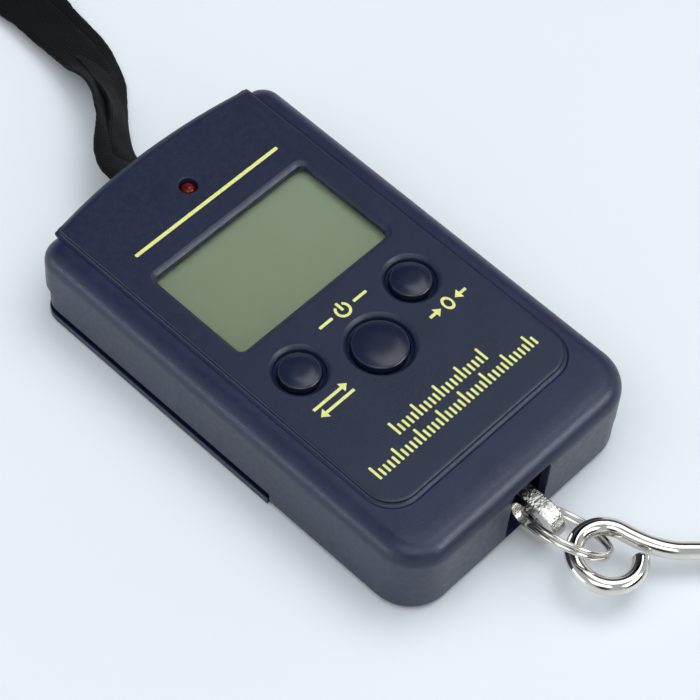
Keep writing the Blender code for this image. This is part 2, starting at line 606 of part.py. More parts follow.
def build_load_cell():
    x0, y0, z0, x1, y1, z1 = BAR
    bar = place("load_cell_bar", box_mesh("load_cell_bar", (x0, y0, z0), (x1, y1, z1)), ALUMINIUM)
    middle_z = (z0 + z1) / 2
    for i, y in enumerate(BAR_HOLE_YS, 1):
        cut_rod(bar, f"bar_relief_{i}", (x0 - 1 * MM, y, middle_z), (x1 + 1 * MM, y, middle_z), BAR_HOLE_R, 24)
    cut_box(bar, "bar_relief_slot", (x0 - 1 * MM, BAR_HOLE_YS[0], middle_z - 1.2 * MM),
            (x1 + 1 * MM, BAR_HOLE_YS[1], middle_z + 1.2 * MM))
    fork = EYE_T / 2 + 0.2 * MM
    cut_box(bar, "bar_fork", (-fork, y0 - 1 * MM, z0 - 1 * MM), (fork, EYE_BACK_Y + GAP, z1 + 1 * MM))
    pin_z = EYE_CENTRE[1]
    cut_rod(bar, "bar_pin_bore", (x0 - 1 * MM, EYE_PIN_Y, pin_z), (x1 + 1 * MM, EYE_PIN_Y, pin_z),
            EYE_PIN_R + 0.15 * MM)
    for i, y in enumerate(BAR_SCREW_YS, 1):
        cut_rod(bar, f"bar_thread_{i}", (0, y, z0 - 1 * MM), (0, y, z0 + 6.5 * MM), SCREW_R + 0.2 * MM, 12)
    build_pull_eye()
    place("eye_pin", rod_mesh("eye_pin", (x0 + 0.2 * MM, EYE_PIN_Y, pin_z), (x1 - 0.2 * MM, EYE_PIN_Y, pin_z), EYE_PIN_R),
          STEEL)
    for i, y in enumerate(BAR_SCREW_YS, 1):
        profile = [(0, 7.6 * MM), (SCREW_R, 7.2 * MM), (SCREW_R, 0.85 * MM), (SCREW_HEAD_R, 0.85 * MM),
                   (SCREW_HEAD_R - 0.2 * MM, 0.15 * MM), (0, 0.15 * MM)]
        turned(f"load_cell_screw_{i}", profile, (0, y, 0), ZINC, steps=20)
    gauge_y = sum(BAR_HOLE_YS) / 2
    for name, low in (("upper_strain_gauge", z1 + 0.15 * MM), ("lower_strain_gauge", z0 - 0.3 * MM)):
        place(name, box_mesh(name, (-2.6 * MM, gauge_y - 4 * MM, low), (2.6 * MM, gauge_y + 4 * MM, low + 0.15 * MM)), FOIL)
    for name, x, material in (("red", -1.8 * MM, WIRE_RED), ("black", -0.6 * MM, WIRE_BLACK),
                              ("green", 0.6 * MM, WIRE_GREEN), ("white", 1.8 * MM, WIRE_WHITE)):
        start = Vector((x, gauge_y + 4.3 * MM, z1 + 0.4 * MM))
        end = Vector((1.6 * x, gauge_y + 11 * MM, BOARD_Z - 0.45 * MM))
        ease = [(3 * t * t - 2 * t**3, t) for t in np.linspace(0, 1, 7)]
        points = [(start.x + (end.x - start.x) * t, start.y + (end.y - start.y) * t, start.z + (end.z - start.z) * s)
                  for s, t in ease]
        wire(f"gauge_wire_{name}", points, 0.22 * MM, material, resolution=1)


def build_pull_eye():
    """A stamped plate standing on edge, its round end pierced by a slotted hole."""
    eye_y, eye_z = EYE_CENTRE
    shoulder_z = 3.2 * MM
    outline = arc(eye_y, eye_z, EYE_R, 90, 270, 14) + [
        (EYE_BACK_Y - 4.2 * MM, eye_z - EYE_R),
        (EYE_BACK_Y, eye_z - shoulder_z),
        (EYE_BACK_Y, eye_z + shoulder_z),
        (EYE_BACK_Y - 4.2 * MM, eye_z + EYE_R),
    ]
    front, back = EYE_HOLE_Y
    hole = arc(front, EYE_HOLE_Z, EYE_HOLE_R, 90, 270, 10) + arc(back, EYE_HOLE_Z, EYE_HOLE_R, -90, 90, 10)
    stand = Matrix(((0, 0, 1), (1, 0, 0), (0, 1, 0))).to_4x4()
    mesh = slab_mesh("pull_eye", outline, -EYE_T / 2, EYE_T / 2, holes=[hole], turn=stand)
    eye = place("pull_eye", mesh, NICKEL)
    cut_rod(eye, "eye_pin_bore", (-EYE_T, EYE_PIN_Y, eye_z), (EYE_T, EYE_PIN_Y, eye_z), EYE_PIN_R + 0.15 * MM)


# Split ring and hook

def build_split_ring():
    """Two turns of wire, each ending beside the crossover between them."""
    long = RING_LONG.normalized()
    side = (RING_SIDE - long * RING_SIDE.dot(long)).normalized()
    normal = long.cross(side)
    points = []
    for degrees in range(25, 696, 10):
        shift = min(max((degrees - 340) / 40, 0.0), 1.0)
        shift = shift * shift * (3 - 2 * shift)
        angle = math.radians(degrees) + RING_START
        around = long * math.cos(angle) + side * math.sin(angle)
        points.append(RING_CENTRE + around * RING_R + normal * RING_TURN_OFFSET * (2 * shift - 1))
    wire("split_ring", points, RING_WIRE_R, NICKEL, resolution=2)


def hook_path():
    """The hook's middle line in its own plane: round the eye, down the shank and round the bowl."""
    eye = arc(0, 0, HOOK_EYE_R, 0, -306, 24)
    bowl_x, bowl_y = HOOK_BOWL_CENTRE
    bowl = arc(bowl_x, bowl_y, HOOK_BOWL_R, 122, -118, 20)
    offset = HOOK_SHANK_OFFSET
    shank = [(13.0 * MM, offset), (17.0 * MM, offset), (20.5 * MM, offset + 0.3 * MM)]
    first = bezier(eye[-1], tangent(eye[-2], eye[-1]), shank[0], (1, 0), 8)
    second = bezier(shank[-1], tangent(shank[-2], shank[-1]), bowl[0], tangent(bowl[0], bowl[1]), 6)
    away = tangent(bowl[-2], bowl[-1])
    flare = bezier(bowl[-1], away, (bowl[-1][0] - 4.2 * MM, bowl[-1][1] - 2.6 * MM), (-0.62, -0.78), 4)
    return eye + first[1:-1] + shank + second[1:-1] + bowl + flare[1:]


def tangent(a, b):
    step = np.subtract(b, a)
    return step / np.linalg.norm(step)


def bezier(a, a_dir, b, b_dir, steps):
    """A cubic from a to b that leaves along a_dir and arrives along b_dir."""
    a, b = np.array(a), np.array(b)
    reach = np.linalg.norm(b - a) / 3
    p1, p2 = a + np.array(a_dir) * reach, b - np.array(b_dir) * reach
    return [tuple((1 - t)**3 * a + 3 * t * (1 - t)**2 * p1 + 3 * t * t * (1 - t) * p2 + t**3 * b)
            for t in np.linspace(0, 1, steps + 1)]


def build_hook():
    along = HOOK_ALONG.normalized()
    across = (HOOK_ACROSS - along * HOOK_ACROSS.dot(along)).normalized()
    points = [HOOK_EYE_CENTRE + along * a + across * b for a, b in hook_path()]
    wire("hook", points, HOOK_WIRE_R, NICKEL, resolution=3)


# Strap, fasteners

def build_strap():
    half = STRAP_SLOT_HALF_W + 1.7 * MM
    place("strap_pin", rod_mesh("strap_pin", (-half, STRAP_PIN_Y, STRAP_PIN_Z), (half, STRAP_PIN_Y, STRAP_PIN_Z),
                                STRAP_PIN_R, 16), STEEL)
    route = smooth_route(np.array(STRAP_ROUTE) * MM, STRAP_TUBE_POINTS)
    wire("wrist_strap", route, STRAP_TUBE_R, STRAP_BLACK, resolution=2)


def build_case_screws():
    for i, (x, y) in enumerate(CASE_SCREWS, 1):
        head = 2.1 * MM if y < DOOR_Y else DOOR_SIDE + GAP + 2.1 * MM
        length = PARTING_Z + 5.8 * MM - head
        profile = [(0, length), (SCREW_R, length - 0.8 * MM), (SCREW_R, 0), (SCREW_HEAD_R, 0),
                   (SCREW_HEAD_R - 0.3 * MM, -1.2 * MM), (0, -1.4 * MM)]
        turned(f"case_screw_{i}", profile, (x, y, head), ZINC, steps=16)


for old in list(bpy.data.objects):
    bpy.data.objects.remove(old)

PARTS = make_collection("hanging_scale")
CUTTERS = make_collection("cutters")

NAVY = make_material("navy_plastic", (0.026, 0.032, 0.062), 0.38)
CLEAR = make_material("clear_window", (0.80, 0.84, 0.82), 0.08, alpha=0.25)
LCD_GREEN = make_material("lcd_glass", (0.20, 0.26, 0.18), 0.25)
ELASTOMER = make_material("zebra_elastomer", (0.55, 0.35, 0.38), 0.7)
BOARD_GREEN = make_material("board_laminate", (0.03, 0.16, 0.06), 0.45)
EPOXY = make_material("black_epoxy", (0.01, 0.01, 0.01), 0.3)
STEEL = make_material("spring_steel", (0.55, 0.55, 0.53), 0.3, metallic=1.0)
ZINC = make_material("zinc_screw", (0.50, 0.50, 0.52), 0.35, metallic=1.0)
LED_RED = make_material("led_red", (0.35, 0.008, 0.006), 0.15)
CELL_WRAP = make_material("battery_wrap", (0.03, 0.05, 0.11), 0.3)
ALUMINIUM = make_material("load_cell_aluminium", (0.62, 0.63, 0.64), 0.35, metallic=1.0)
FOIL = make_material("gauge_foil", (0.45, 0.22, 0.05), 0.4)
NICKEL = make_material("bright_nickel", (0.70, 0.68, 0.64), 0.1, metallic=1.0)
STRAP_BLACK = make_material("black_strap", (0.012, 0.013, 0.014), 0.85)
WIRE_RED = make_material("wire_red", (0.5, 0.02, 0.02), 0.5)
WIRE_BLACK = make_material("wire_black", (0.015, 0.015, 0.015), 0.5)
WIRE_GREEN = make_material("wire_green", (0.02, 0.3, 0.06), 0.5)
WIRE_WHITE = make_material("wire_white", (0.8, 0.8, 0.78), 0.5)

build_front_shell()
build_rear_shell()
build_battery_door()
build_display()
build_board()
build_led()
build_buttons()
build_batteries()
build_load_cell()
build_split_ring()
build_hook()
build_strap()
build_case_screws()
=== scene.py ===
"""The looks of a pocket hanging scale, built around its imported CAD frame."""
import math

import bmesh
import bpy
import numpy as np
from mathutils import Matrix, Vector, noise


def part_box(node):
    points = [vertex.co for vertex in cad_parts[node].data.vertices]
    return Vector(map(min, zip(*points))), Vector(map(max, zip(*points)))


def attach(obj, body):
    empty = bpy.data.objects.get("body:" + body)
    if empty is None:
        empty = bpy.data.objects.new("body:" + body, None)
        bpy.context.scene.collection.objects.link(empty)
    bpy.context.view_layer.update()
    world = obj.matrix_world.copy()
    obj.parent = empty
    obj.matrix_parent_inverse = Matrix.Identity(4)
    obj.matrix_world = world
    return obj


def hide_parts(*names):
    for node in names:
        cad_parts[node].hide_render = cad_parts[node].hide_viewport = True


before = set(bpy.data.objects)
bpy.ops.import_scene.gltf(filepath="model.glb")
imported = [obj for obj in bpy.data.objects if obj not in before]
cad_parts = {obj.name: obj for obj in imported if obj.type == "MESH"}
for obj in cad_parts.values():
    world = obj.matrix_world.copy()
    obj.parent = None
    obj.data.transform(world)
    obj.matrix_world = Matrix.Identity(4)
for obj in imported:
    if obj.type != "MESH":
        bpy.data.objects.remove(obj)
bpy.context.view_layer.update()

MM = 0.001

# Case, as the CAD has it
CASE_HALF_W = 27.5 * MM
HOOK_END_Y = -46.0 * MM
WING_END_Y = 43.3 * MM
CASE_TOP = 17.3 * MM
HOOK_CORNER_R = 8.0 * MM
WING_CORNER_R = 4.2 * MM
FRONT_EDGE_R = 3.7 * MM
CASE_FOOT_R = 1.8 * MM
REAR_INSET = -0.12 * MM
DOOR_FOOT_R = 0.55 * MM
DOOR_PROUD = 0.05 * MM
DOOR_STEP = (1.75 * MM, 0.90 * MM)
WALL = 1.6 * MM
SEAM = (7.55 * MM, 7.63 * MM)
PANEL_HALF_W = 22.1 * MM
PANEL_BOTTOM_Y = -35.2 * MM
PANEL_END_Y = 45.5 * MM
PANEL_BOW_R = 120.0 * MM
PANEL_CORNER_R = 5.0 * MM
PANEL_END_CORNER_R = 2.5 * MM
PANEL_END_EDGE_R = 2.2 * MM
PANEL_TOP = 18.0 * MM
REAR_BOW_HALF_W = 21.0 * MM
REAR_END_TRIM = 0.8 * MM
CROWN = 0.07 * MM

# The panel's edge (mm out from its outline, mm from its top): rounded over, then swept out to a shallow ditch
PANEL_RISE = (
    (0.31, -0.58), (0.285, -0.40), (0.26, -0.25), (0.21, -0.15),
    (0.12, -0.08), (0.02, -0.035), (-0.12, -0.010), (-0.25, 0.0),
)
PANEL_FOOT = (
    (0.92, -1.5), (0.92, -0.94), (0.72, -0.90), (0.56, -0.84), (0.44, -0.74), (0.36, -0.62), (0.20, -0.54),
)
PANEL_DITCH = (
    (0.84, -0.93), (0.94, -0.91), (1.02, -0.84), (1.10, -0.76), (1.22, -0.71), (1.36, -0.68), (1.36, 1.5),
)
DITCH_TOP = 17.05 * MM

WINDOW = (-17.8 * MM, 3.2 * MM, 17.8 * MM, 24.2 * MM)
WINDOW_CORNER_R = 1.3 * MM
WINDOW_SKIN = 16.4 * MM
# The window's bevel, as mm out from the opening and mm from the panel's top
WINDOW_BEVEL = (
    (0.0, -0.72), (0.02, -0.62), (0.09, -0.54), (0.50, -0.22),
    (0.66, -0.12), (0.84, -0.04), (1.02, 0.002), (1.02, 0.5),
)

# Buttons: name, centre, and the radii of the cap and of the dish around it
BUTTONS = (
    ("power", 0.0, -11.6 * MM, 4.95 * MM, 6.35 * MM),
    ("unit", -13.4 * MM, -6.0 * MM, 3.7 * MM, 5.1 * MM),
    ("tare", 13.4 * MM, -6.0 * MM, 3.7 * MM, 5.1 * MM),
)
BUTTON_TOP = 18.4 * MM
CAP_SHOULDER = 0.6 * MM
CAP_CROWN = 0.36 * MM
CAP_FLANGE = 0.7 * MM
CAP_TURN = 22  # degrees of slope where the crown meets the shoulder
DISH_DEPTH = 1.5 * MM
# The dish's slope, as shares of its width and of its depth
DISH_SLOPE = (
    (1.0, 0.06), (0.90, 0.13), (0.74, 0.25), (0.58, 0.37),
    (0.48, 0.48), (0.42, 0.64), (0.36, 0.84), (0.0, 1.0),
)

LED_Y = 34.1 * MM
LED_R = 1.5 * MM
LED_BASE_R = LED_R + 0.35 * MM
LED_BASE_H = 1.0 * MM
DOOR_Y = -13.1 * MM
DOOR_TOP = 3.05 * MM
DECK_Z = 3.35 * MM
MOUTH_HALF_W = 4.6 * MM
MOUTH_Z = (1.5 * MM, 14.7 * MM)
SLOT_HALF_W = 5.8 * MM
SLOT_Z = (4.5 * MM, 12.0 * MM)
BAY = (-24.9 * MM, 2.5 * MM, 24.9 * MM, 24.7 * MM)
BAY_WALL = 0.6 * MM
BAY_TOP = 12.9 * MM
HOOK_SCREWS = ((-20.5 * MM, -37.6 * MM), (20.5 * MM, -37.6 * MM))
CELL_SCREW_YS = (-22.3 * MM, -17.1 * MM)
SCREW_HEAD_R = 2.1 * MM
SCREW_SHANK_R = 1.05 * MM
CASE_SCREW_RIM_Z = 1.55 * MM
CELL_SCREW_RIM_Z = 0.45 * MM

# Strap: middle line (mm) and the tape's lean about it (degrees)
STRAP_ROUTE = (
    (0.0, 38.1, 10.1, 0), (0.0, 39.4, 11.3, 0), (-0.2, 41.4, 11.5, 0), (-0.8, 45.0, 10.4, -8),
    (-1.3, 50.0, 9.3, -30), (-0.2, 53.4, 8.7, -46), (1.6, 56.0, 8.2, -58), (4.4, 59.3, 7.4, -65),
    (7.4, 63.0, 6.4, -64), (9.7, 66.2, 5.6, -54), (11.7, 69.9, 4.9, -40), (13.3, 74.4, 4.0, -22),
    (14.5, 80.0, 3.3, -8), (15.1, 87.0, 2.8, 0), (15.4, 94.0, 2.7, 4), (15.0, 102.0, 3.1, 25),
    (13.9, 110.0, 4.1, 60), (13.2, 118.0, 4.5, 85), (15.0, 125.5, 4.5, 90), (19.8, 130.2, 4.5, 90),
    (25.4, 129.6, 4.5, 90), (29.6, 124.8, 4.5, 90), (30.2, 117.5, 4.5, 85), (28.0, 110.0, 3.8, 58),
    (23.9, 102.0, 2.0, 20), (20.2, 95.5, 1.2, 3), (18.3, 88.0, 1.1, 0), (17.7, 81.5, 1.4, 6),
    (16.8, 76.6, 2.2, 20), (15.3, 72.3, 2.9, 33), (13.2, 68.1, 3.6, 48), (10.6, 63.9, 4.2, 62),
    (7.6, 59.8, 4.9, 65), (4.8, 56.4, 5.5, 58), (2.6, 52.8, 6.0, 44), (1.2, 49.0, 6.2, 26),
    (0.3, 45.0, 6.2, 8), (0.0, 41.2, 5.9, 0), (0.0, 39.4, 6.1, 0), (0.0, 38.1, 7.2, 0),
)
STRAP_WIDTH = 8.4 * MM
STRAP_THICK = 0.9 * MM
STRAP_LENGTH = 0.208

# Hook train, as the CAD has it
RING_CENTRE = Vector((0.826, -53.964, 7.423)) * MM
RING_LONG = Vector((0.3156, -0.9387, -0.1387))
RING_SIDE = Vector((-0.6651, -0.3231, 0.6732))
RING_R = 7.85 * MM
RING_WIRE_R = 0.42 * MM
RING_TURN_OFFSET = 0.46 * MM
RING_START = math.radians(165)
HOOK_EYE_CENTRE = Vector((2.49, -61.37, 6.38)) * MM
HOOK_ALONG = Vector((0.751, -0.653, -0.092))
HOOK_ACROSS = Vector((0.656, 0.754, 0.0))
HOOK_WIRE_R = 1.55 * MM
HOOK_EYE_R = 5.65 * MM
HOOK_CUT = 0  # degrees round the eye, where its wire is cut off
HOOK_SHANK_OFFSET = 1.0 * MM
HOOK_BOWL_CENTRE = (41.5 * MM, -0.7 * MM)
HOOK_BOWL_R = 10.2 * MM
EYE_T = 3.3 * MM
EYE_SHOULDER = 3.2 * MM
EYE_NECK = 4.2 * MM
EYE_PIN_HOLE_R = 1.4 * MM
EYE_CENTRE = (-48.7 * MM, 6.4 * MM)
EYE_R = 4.4 * MM
EYE_BACK_Y = -36.6 * MM
EYE_HOLE_Z = 6.16 * MM
EYE_HOLE_R = 2.5 * MM
EYE_HOLE_Y = (-48.7 * MM, -46.47 * MM)
EYE_PIN_Y = -39.6 * MM


# Camera

camera_data = bpy.data.cameras.new("camera")
camera_data.sensor_width = 36.0
camera_data.lens = 139.1
camera_data.clip_start = 0.01
camera = bpy.data.objects.new("camera", camera_data)
camera.location = (-0.19892, -0.16932, 0.38770)
camera.rotation_euler = [math.radians(a) for a in (34.159, -2.996, -46.067)]
bpy.context.scene.collection.objects.link(camera)
bpy.context.scene.camera = camera


# Mesh helpers

SHARP = math.radians(40)


def add_object(name, mesh):
    obj = bpy.data.objects.new(name, mesh)
    bpy.context.scene.collection.objects.link(obj)
    return obj


def mesh_from(bm, name):
    bmesh.ops.recalc_face_normals(bm, faces=bm.faces)
    mesh = bpy.data.meshes.new(name)
    bm.to_mesh(mesh)
    bm.free()
    mesh.shade_smooth()
    mesh.set_sharp_from_angle(angle=SHARP)
    return mesh


def arc(cx, cy, radius, start, end, steps):
    angles = np.radians(np.linspace(start, end, steps + 1))
    return [(cx + radius * math.cos(a), cy + radius * math.sin(a)) for a in angles]


def fillet(a, b, steps=5, level=False):
    """Quarter-ellipse profile from a to b that leaves a upwards, or level (its first value first)."""
    turn = [(math.sin(t), math.cos(t)) for t in np.radians(np.linspace(0, 90, steps + 1))]
    if level:
        return [(a[0] + (b[0] - a[0]) * s, b[1] + (a[1] - b[1]) * c) for s, c in turn]
    return [(b[0] + (a[0] - b[0]) * c, a[1] + (b[1] - a[1]) * s) for s, c in turn]


def loft(name, outline, profile, turn=None):
    """A closed solid whose outline(grow) is carried through the profile's (grow, height) steps."""
    bm = bmesh.new()
    loops = [[bm.verts.new((x, y, z)) for x, y in outline(grow)] for grow, z in profile]
    for low, high in zip(loops, loops[1:]):
        for i in range(len(low)):
            j = (i + 1) % len(low)
            bm.faces.new((low[i], low[j], high[j], high[i]))
    bm.faces.new(loops[0][::-1])
    bm.faces.new(loops[-1])
    if turn:
        bmesh.ops.transform(bm, matrix=turn, verts=bm.verts)
    return add_object(name, mesh_from(bm, name))


def turned(name, profile, at=(0.0, 0.0, 0.0), steps=64):
    """A closed solid of revolution from (radius, height) points whose ends lie on the axis."""
    bm = bmesh.new()
    rings = []
    for radius, z in profile:
        if radius == 0.0:
            rings.append([bm.verts.new((0.0, 0.0, z))])
        else:
            angles = [2 * math.pi * k / steps for k in range(steps)]
            rings.append([bm.verts.new((radius * math.cos(a), radius * math.sin(a), z)) for a in angles])
    for low, high in zip(rings, rings[1:]):
        for i in range(steps):
            j = (i + 1) % steps
            corners = [low[i % len(low)], low[j % len(low)], high[j % len(high)], high[i % len(high)]]
            bm.faces.new(list(dict.fromkeys(corners)))
    bmesh.ops.translate(bm, verts=bm.verts, vec=at)
    return add_object(name, mesh_from(bm, name))


def sweep(name, points, section, lean=None):
    """A section carried along points; section(share) gives its (across, up) points that far along."""
    count = len(points)
    points = [Vector(p) for p in points]
    tangents = [(points[min(i + 1, count - 1)] - points[max(i - 1, 0)]).normalized() for i in range(count)]
    side = tangents[0].orthogonal().normalized()
    bm = bmesh.new()
    loops = []
    for i, (p, t) in enumerate(zip(points, tangents)):
        if lean is None:
            side = (side - t * side.dot(t)).normalized()
            across, up = side, t.cross(side)
        else:
            level = t.cross(Vector((0, 0, 1))).normalized()
            across = level * math.cos(lean[i]) + level.cross(t) * math.sin(lean[i])
            up = across.cross(t)
        loops.append([bm.verts.new(p + across * a + up * u) for a, u in section(i / (count - 1))])
    for low, high in zip(loops, loops[1:]):
        for i in range(len(low)):
            j = (i + 1) % len(low)
            bm.faces.new((low[i], low[j], high[j], high[i]))
    bm.faces.new(loops[0][::-1])
    bm.faces.new(loops[-1])
    return add_object(name, mesh_from(bm, name))


def round_section(radius, sides):
    angles = [2 * math.pi * k / sides for k in range(sides)]
    return [(radius * math.cos(a), radius * math.sin(a)) for a in angles]


def smooth_route(points, count):
    """Evenly spaced points on a Catmull-Rom curve through the route's own points."""
    knots = np.array(points, float)
    padded = np.vstack([2 * knots[0] - knots[1], knots, 2 * knots[-1] - knots[-2]])
    fine = []
    for i in range(1, len(padded) - 2):
        before, a, b, after = padded[i - 1:i + 3]
        for t in np.linspace(0.0, 1.0, 12, endpoint=False):
            fine.append(
                0.5 * (2 * a + (b - before) * t + (2 * before - 5 * a + 4 * b - after) * t**2
                       + (3 * a - before - 3 * b + after) * t**3)
            )
    fine = np.array(fine + [knots[-1]])
    steps = np.linalg.norm(np.diff(fine[:, :3], axis=0), axis=1)
    along = np.concatenate([[0.0], np.cumsum(steps)])
    at = np.linspace(0.0, along[-1], count)
    return np.stack([np.interp(at, along, fine[:, k]) for k in range(fine.shape[1])], axis=1)


def combine(obj, *steps):
    """Applies (operation, other object) pairs in turn, and removes the others."""
    for operation, other in steps:
        modifier = obj.modifiers.new(operation, "BOOLEAN")
        modifier.object = other
        modifier.operation = operation
        modifier.solver = "EXACT"
    apply_modifiers(obj)
    for _, other in steps:
        bpy.data.objects.remove(other)


def apply_modifiers(obj):
    shown = obj.evaluated_get(bpy.context.evaluated_depsgraph_get())
    mesh = bpy.data.meshes.new_from_object(shown)
    obj.modifiers.clear()
    obj.data = mesh


def even_shading(obj, sharp=SHARP):
    """Keeps large flat faces flat where they meet rounded edges."""
    bm = bmesh.new()
    bm.from_mesh(obj.data)
    bmesh.ops.remove_doubles(bm, verts=bm.verts, dist=1e-6)
    bmesh.ops.dissolve_degenerate(bm, edges=bm.edges, dist=1e-6)
    bm.to_mesh(obj.data)
    bm.free()
    obj.data.shade_smooth()
    obj.data.set_sharp_from_angle(angle=sharp)
    weighted = obj.modifiers.new("weighted", "WEIGHTED_NORMAL")
    weighted.mode = "FACE_AREA"
    weighted.weight = 100
    weighted.keep_sharp = True
    apply_modifiers(obj)


def box(name, low, high):
    bm = bmesh.new()
    bmesh.ops.create_cube(bm, size=1.0)
    low, high = Vector(low), Vector(high)
    bmesh.ops.scale(bm, vec=high - low, verts=bm.verts)
    bmesh.ops.translate(bm, vec=(low + high) / 2, verts=bm.verts)
    return add_object(name, mesh_from(bm, name))


def show(obj, body, slot, *materials, replaces=()):
    """Gives a finished piece its materials and its body, and hides the CAD nodes that it stands for."""
    obj.data.materials.clear()
    for material in materials:
        obj.data.materials.append(material)
    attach(obj, body)
    if replaces:
        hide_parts(*replaces)


# Materials

def new_material(name, roughness=0.5, metallic=0.0, **sockets):
    material = bpy.data.materials.new(name)
    material.use_nodes = True
    shader = material.node_tree.nodes["Principled BSDF"]
    shader.inputs["Roughness"].default_value = roughness
    shader.inputs["Metallic"].default_value = metallic
    for socket, value in sockets.items():
        shader.inputs[socket.replace("_", " ")].default_value = value
    return material


def set_ramp(ramp, stops):
    elements = ramp.color_ramp.elements
    while len(elements) < len(stops):
        elements.new(0.5)
    for element, (position, colour) in zip(elements, stops):
        element.position = position
        element.color = (*colour, 1.0)


class Nodes:
    """Short names for the nodes that the materials share."""

    def __init__(self, material):
        self.tree = material.node_tree
        self.shader = self.tree.nodes["Principled BSDF"]
        self.place = self.tree.nodes.new("ShaderNodeTexCoord").outputs["Object"]

    def stretched(self, scale):
        node = self.tree.nodes.new("ShaderNodeMapping")
        node.inputs["Scale"].default_value = scale
        self.tree.links.new(self.place, node.inputs["Vector"])
        return node.outputs["Vector"]

    def noise(self, scale, detail=2.0, vector=None):
        node = self.tree.nodes.new("ShaderNodeTexNoise")
        node.inputs["Scale"].default_value = scale
        node.inputs["Detail"].default_value = detail
        self.tree.links.new(vector or self.place, node.inputs["Vector"])
        return node.outputs["Fac"]

    def voronoi(self, scale):
        node = self.tree.nodes.new("ShaderNodeTexVoronoi")
        node.inputs["Scale"].default_value = scale
        self.tree.links.new(self.place, node.inputs["Vector"])
        return node.outputs["Distance"]

    def wave(self, scale, direction="X", distortion=0.0, vector=None):
        node = self.tree.nodes.new("ShaderNodeTexWave")
        node.bands_direction = direction
        node.inputs["Scale"].default_value = scale
        node.inputs["Distortion"].default_value = distortion
        self.tree.links.new(vector or self.place, node.inputs["Vector"])
        return node.outputs["Fac"]

    def ramp(self, value, *stops):
        node = self.tree.nodes.new("ShaderNodeValToRGB")
        set_ramp(node, stops)
        self.tree.links.new(value, node.inputs["Fac"])
        return node.outputs["Color"]

    def levels(self, value, low, high, start=0.3, end=0.7):
        node = self.tree.nodes.new("ShaderNodeMapRange")
        node.inputs["From Min"].default_value = start
        node.inputs["From Max"].default_value = end
        node.inputs["To Min"].default_value = low
        node.inputs["To Max"].default_value = high
        self.tree.links.new(value, node.inputs["Value"])
        return node.outputs["Result"]

    def math(self, operation, a, b):
        node = self.tree.nodes.new("ShaderNodeMath")
        node.operation = operation
        for socket, value in zip(node.inputs, (a, b)):
            if isinstance(value, float):
                socket.default_value = value
            else:
                self.tree.links.new(value, socket)
        return node.outputs["Value"]

    def axis(self, name):
        node = self.tree.nodes.new("ShaderNodeSeparateXYZ")
        self.tree.links.new(self.place, node.inputs["Vector"])
        return node.outputs[name]

    def colour(self, value):
        self.tree.links.new(value, self.shader.inputs["Base Color"])

    def rough(self, value):
        self.tree.links.new(value, self.shader.inputs["Roughness"])

    def bump(self, height, distance):
        node = self.tree.nodes.new("ShaderNodeBump")
        node.inputs["Distance"].default_value = distance
        node.inputs["Strength"].default_value = 1.0
        self.tree.links.new(height, node.inputs["Height"])
        self.tree.links.new(node.outputs["Normal"], self.shader.inputs["Normal"])


def plastic(name, dark, light, roughness, grain, depth, pits=0.6):
    """Moulded plastic: a fine cast texture with slight change of colour and gloss."""
    material = new_material(name, Specular_IOR_Level=0.5)
    n = Nodes(material)
    n.colour(n.ramp(n.noise(120.0, 3.0), (0.3, dark), (0.7, light)))
    n.rough(n.levels(n.noise(900.0, 2.0), roughness[0], roughness[1]))
    n.bump(n.math("ADD", n.noise(grain, 2.0), n.math("MULTIPLY", n.voronoi(grain * 0.7), pits)), depth)
    return material


def metal(name, dark, light, roughness, scratch, depth):
    material = new_material(name, metallic=1.0)
    n = Nodes(material)
    n.colour(n.ramp(n.noise(300.0, 3.0), (0.3, dark), (0.7, light)))
    n.rough(n.levels(n.noise(1400.0, 3.0), roughness[0], roughness[1]))
    n.bump(n.noise(scratch, 4.0), depth)
    return material


def brushed(name, dark, light, stretch):
    material = new_material(name, metallic=1.0)
    n = Nodes(material)
    grain = n.noise(1.0, 4.0, n.stretched(stretch))
    n.colour(n.ramp(grain, (0.3, dark), (0.7, light)))
    n.rough(n.levels(grain, 0.25, 0.42))
    n.bump(grain, 0.01 * MM)
    return material


def speckled(name, dark, light, scale, roughness):
    material = new_material(name)
    n = Nodes(material)
    spots = n.noise(scale, 4.0)
    n.colour(n.ramp(spots, (0.35, dark), (0.65, light)))
    n.rough(n.levels(spots, roughness[0], roughness[1]))
    n.bump(spots, 0.01 * MM)
    return material


CASE = plastic(
    "navy_case", (0.0090, 0.0136, 0.0440), (0.0124, 0.0180, 0.0535), (0.33, 0.43), 4400.0, 0.018 * MM)
PANEL = plastic(
    "navy_panel", (0.0088, 0.0136, 0.0380), (0.0112, 0.0168, 0.0445), (0.35, 0.45), 3400.0, 0.018 * MM)
CAP = plastic(
    "navy_cap", (0.0078, 0.0108, 0.0310), (0.0098, 0.0138, 0.0360), (0.25, 0.28), 4200.0, 0.004 * MM, 0.0)
NICKEL = metal("bright_nickel", (0.66, 0.63, 0.58), (0.80, 0.77, 0.72), (0.05, 0.13), 500.0, 0.006 * MM)
NICKEL_RING = metal("ring_nickel", (0.60, 0.57, 0.52), (0.74, 0.71, 0.66), (0.08, 0.18), 900.0, 0.010 * MM)
NICKEL_ROUGH = metal(
    "sheared_nickel", (0.35, 0.34, 0.32), (0.78, 0.76, 0.72), (0.12, 0.34), 1500.0, 0.16 * MM)
STEEL = metal("plated_steel", (0.48, 0.48, 0.46), (0.60, 0.60, 0.58), (0.24, 0.36), 2500.0, 0.01 * MM)
ZINC = metal("zinc_plate", (0.44, 0.45, 0.47), (0.56, 0.56, 0.58), (0.28, 0.42), 2500.0, 0.01 * MM)
ALUMINIUM = brushed("milled_aluminium", (0.55, 0.56, 0.57), (0.66, 0.67, 0.68), (9000.0, 250.0, 9000.0))
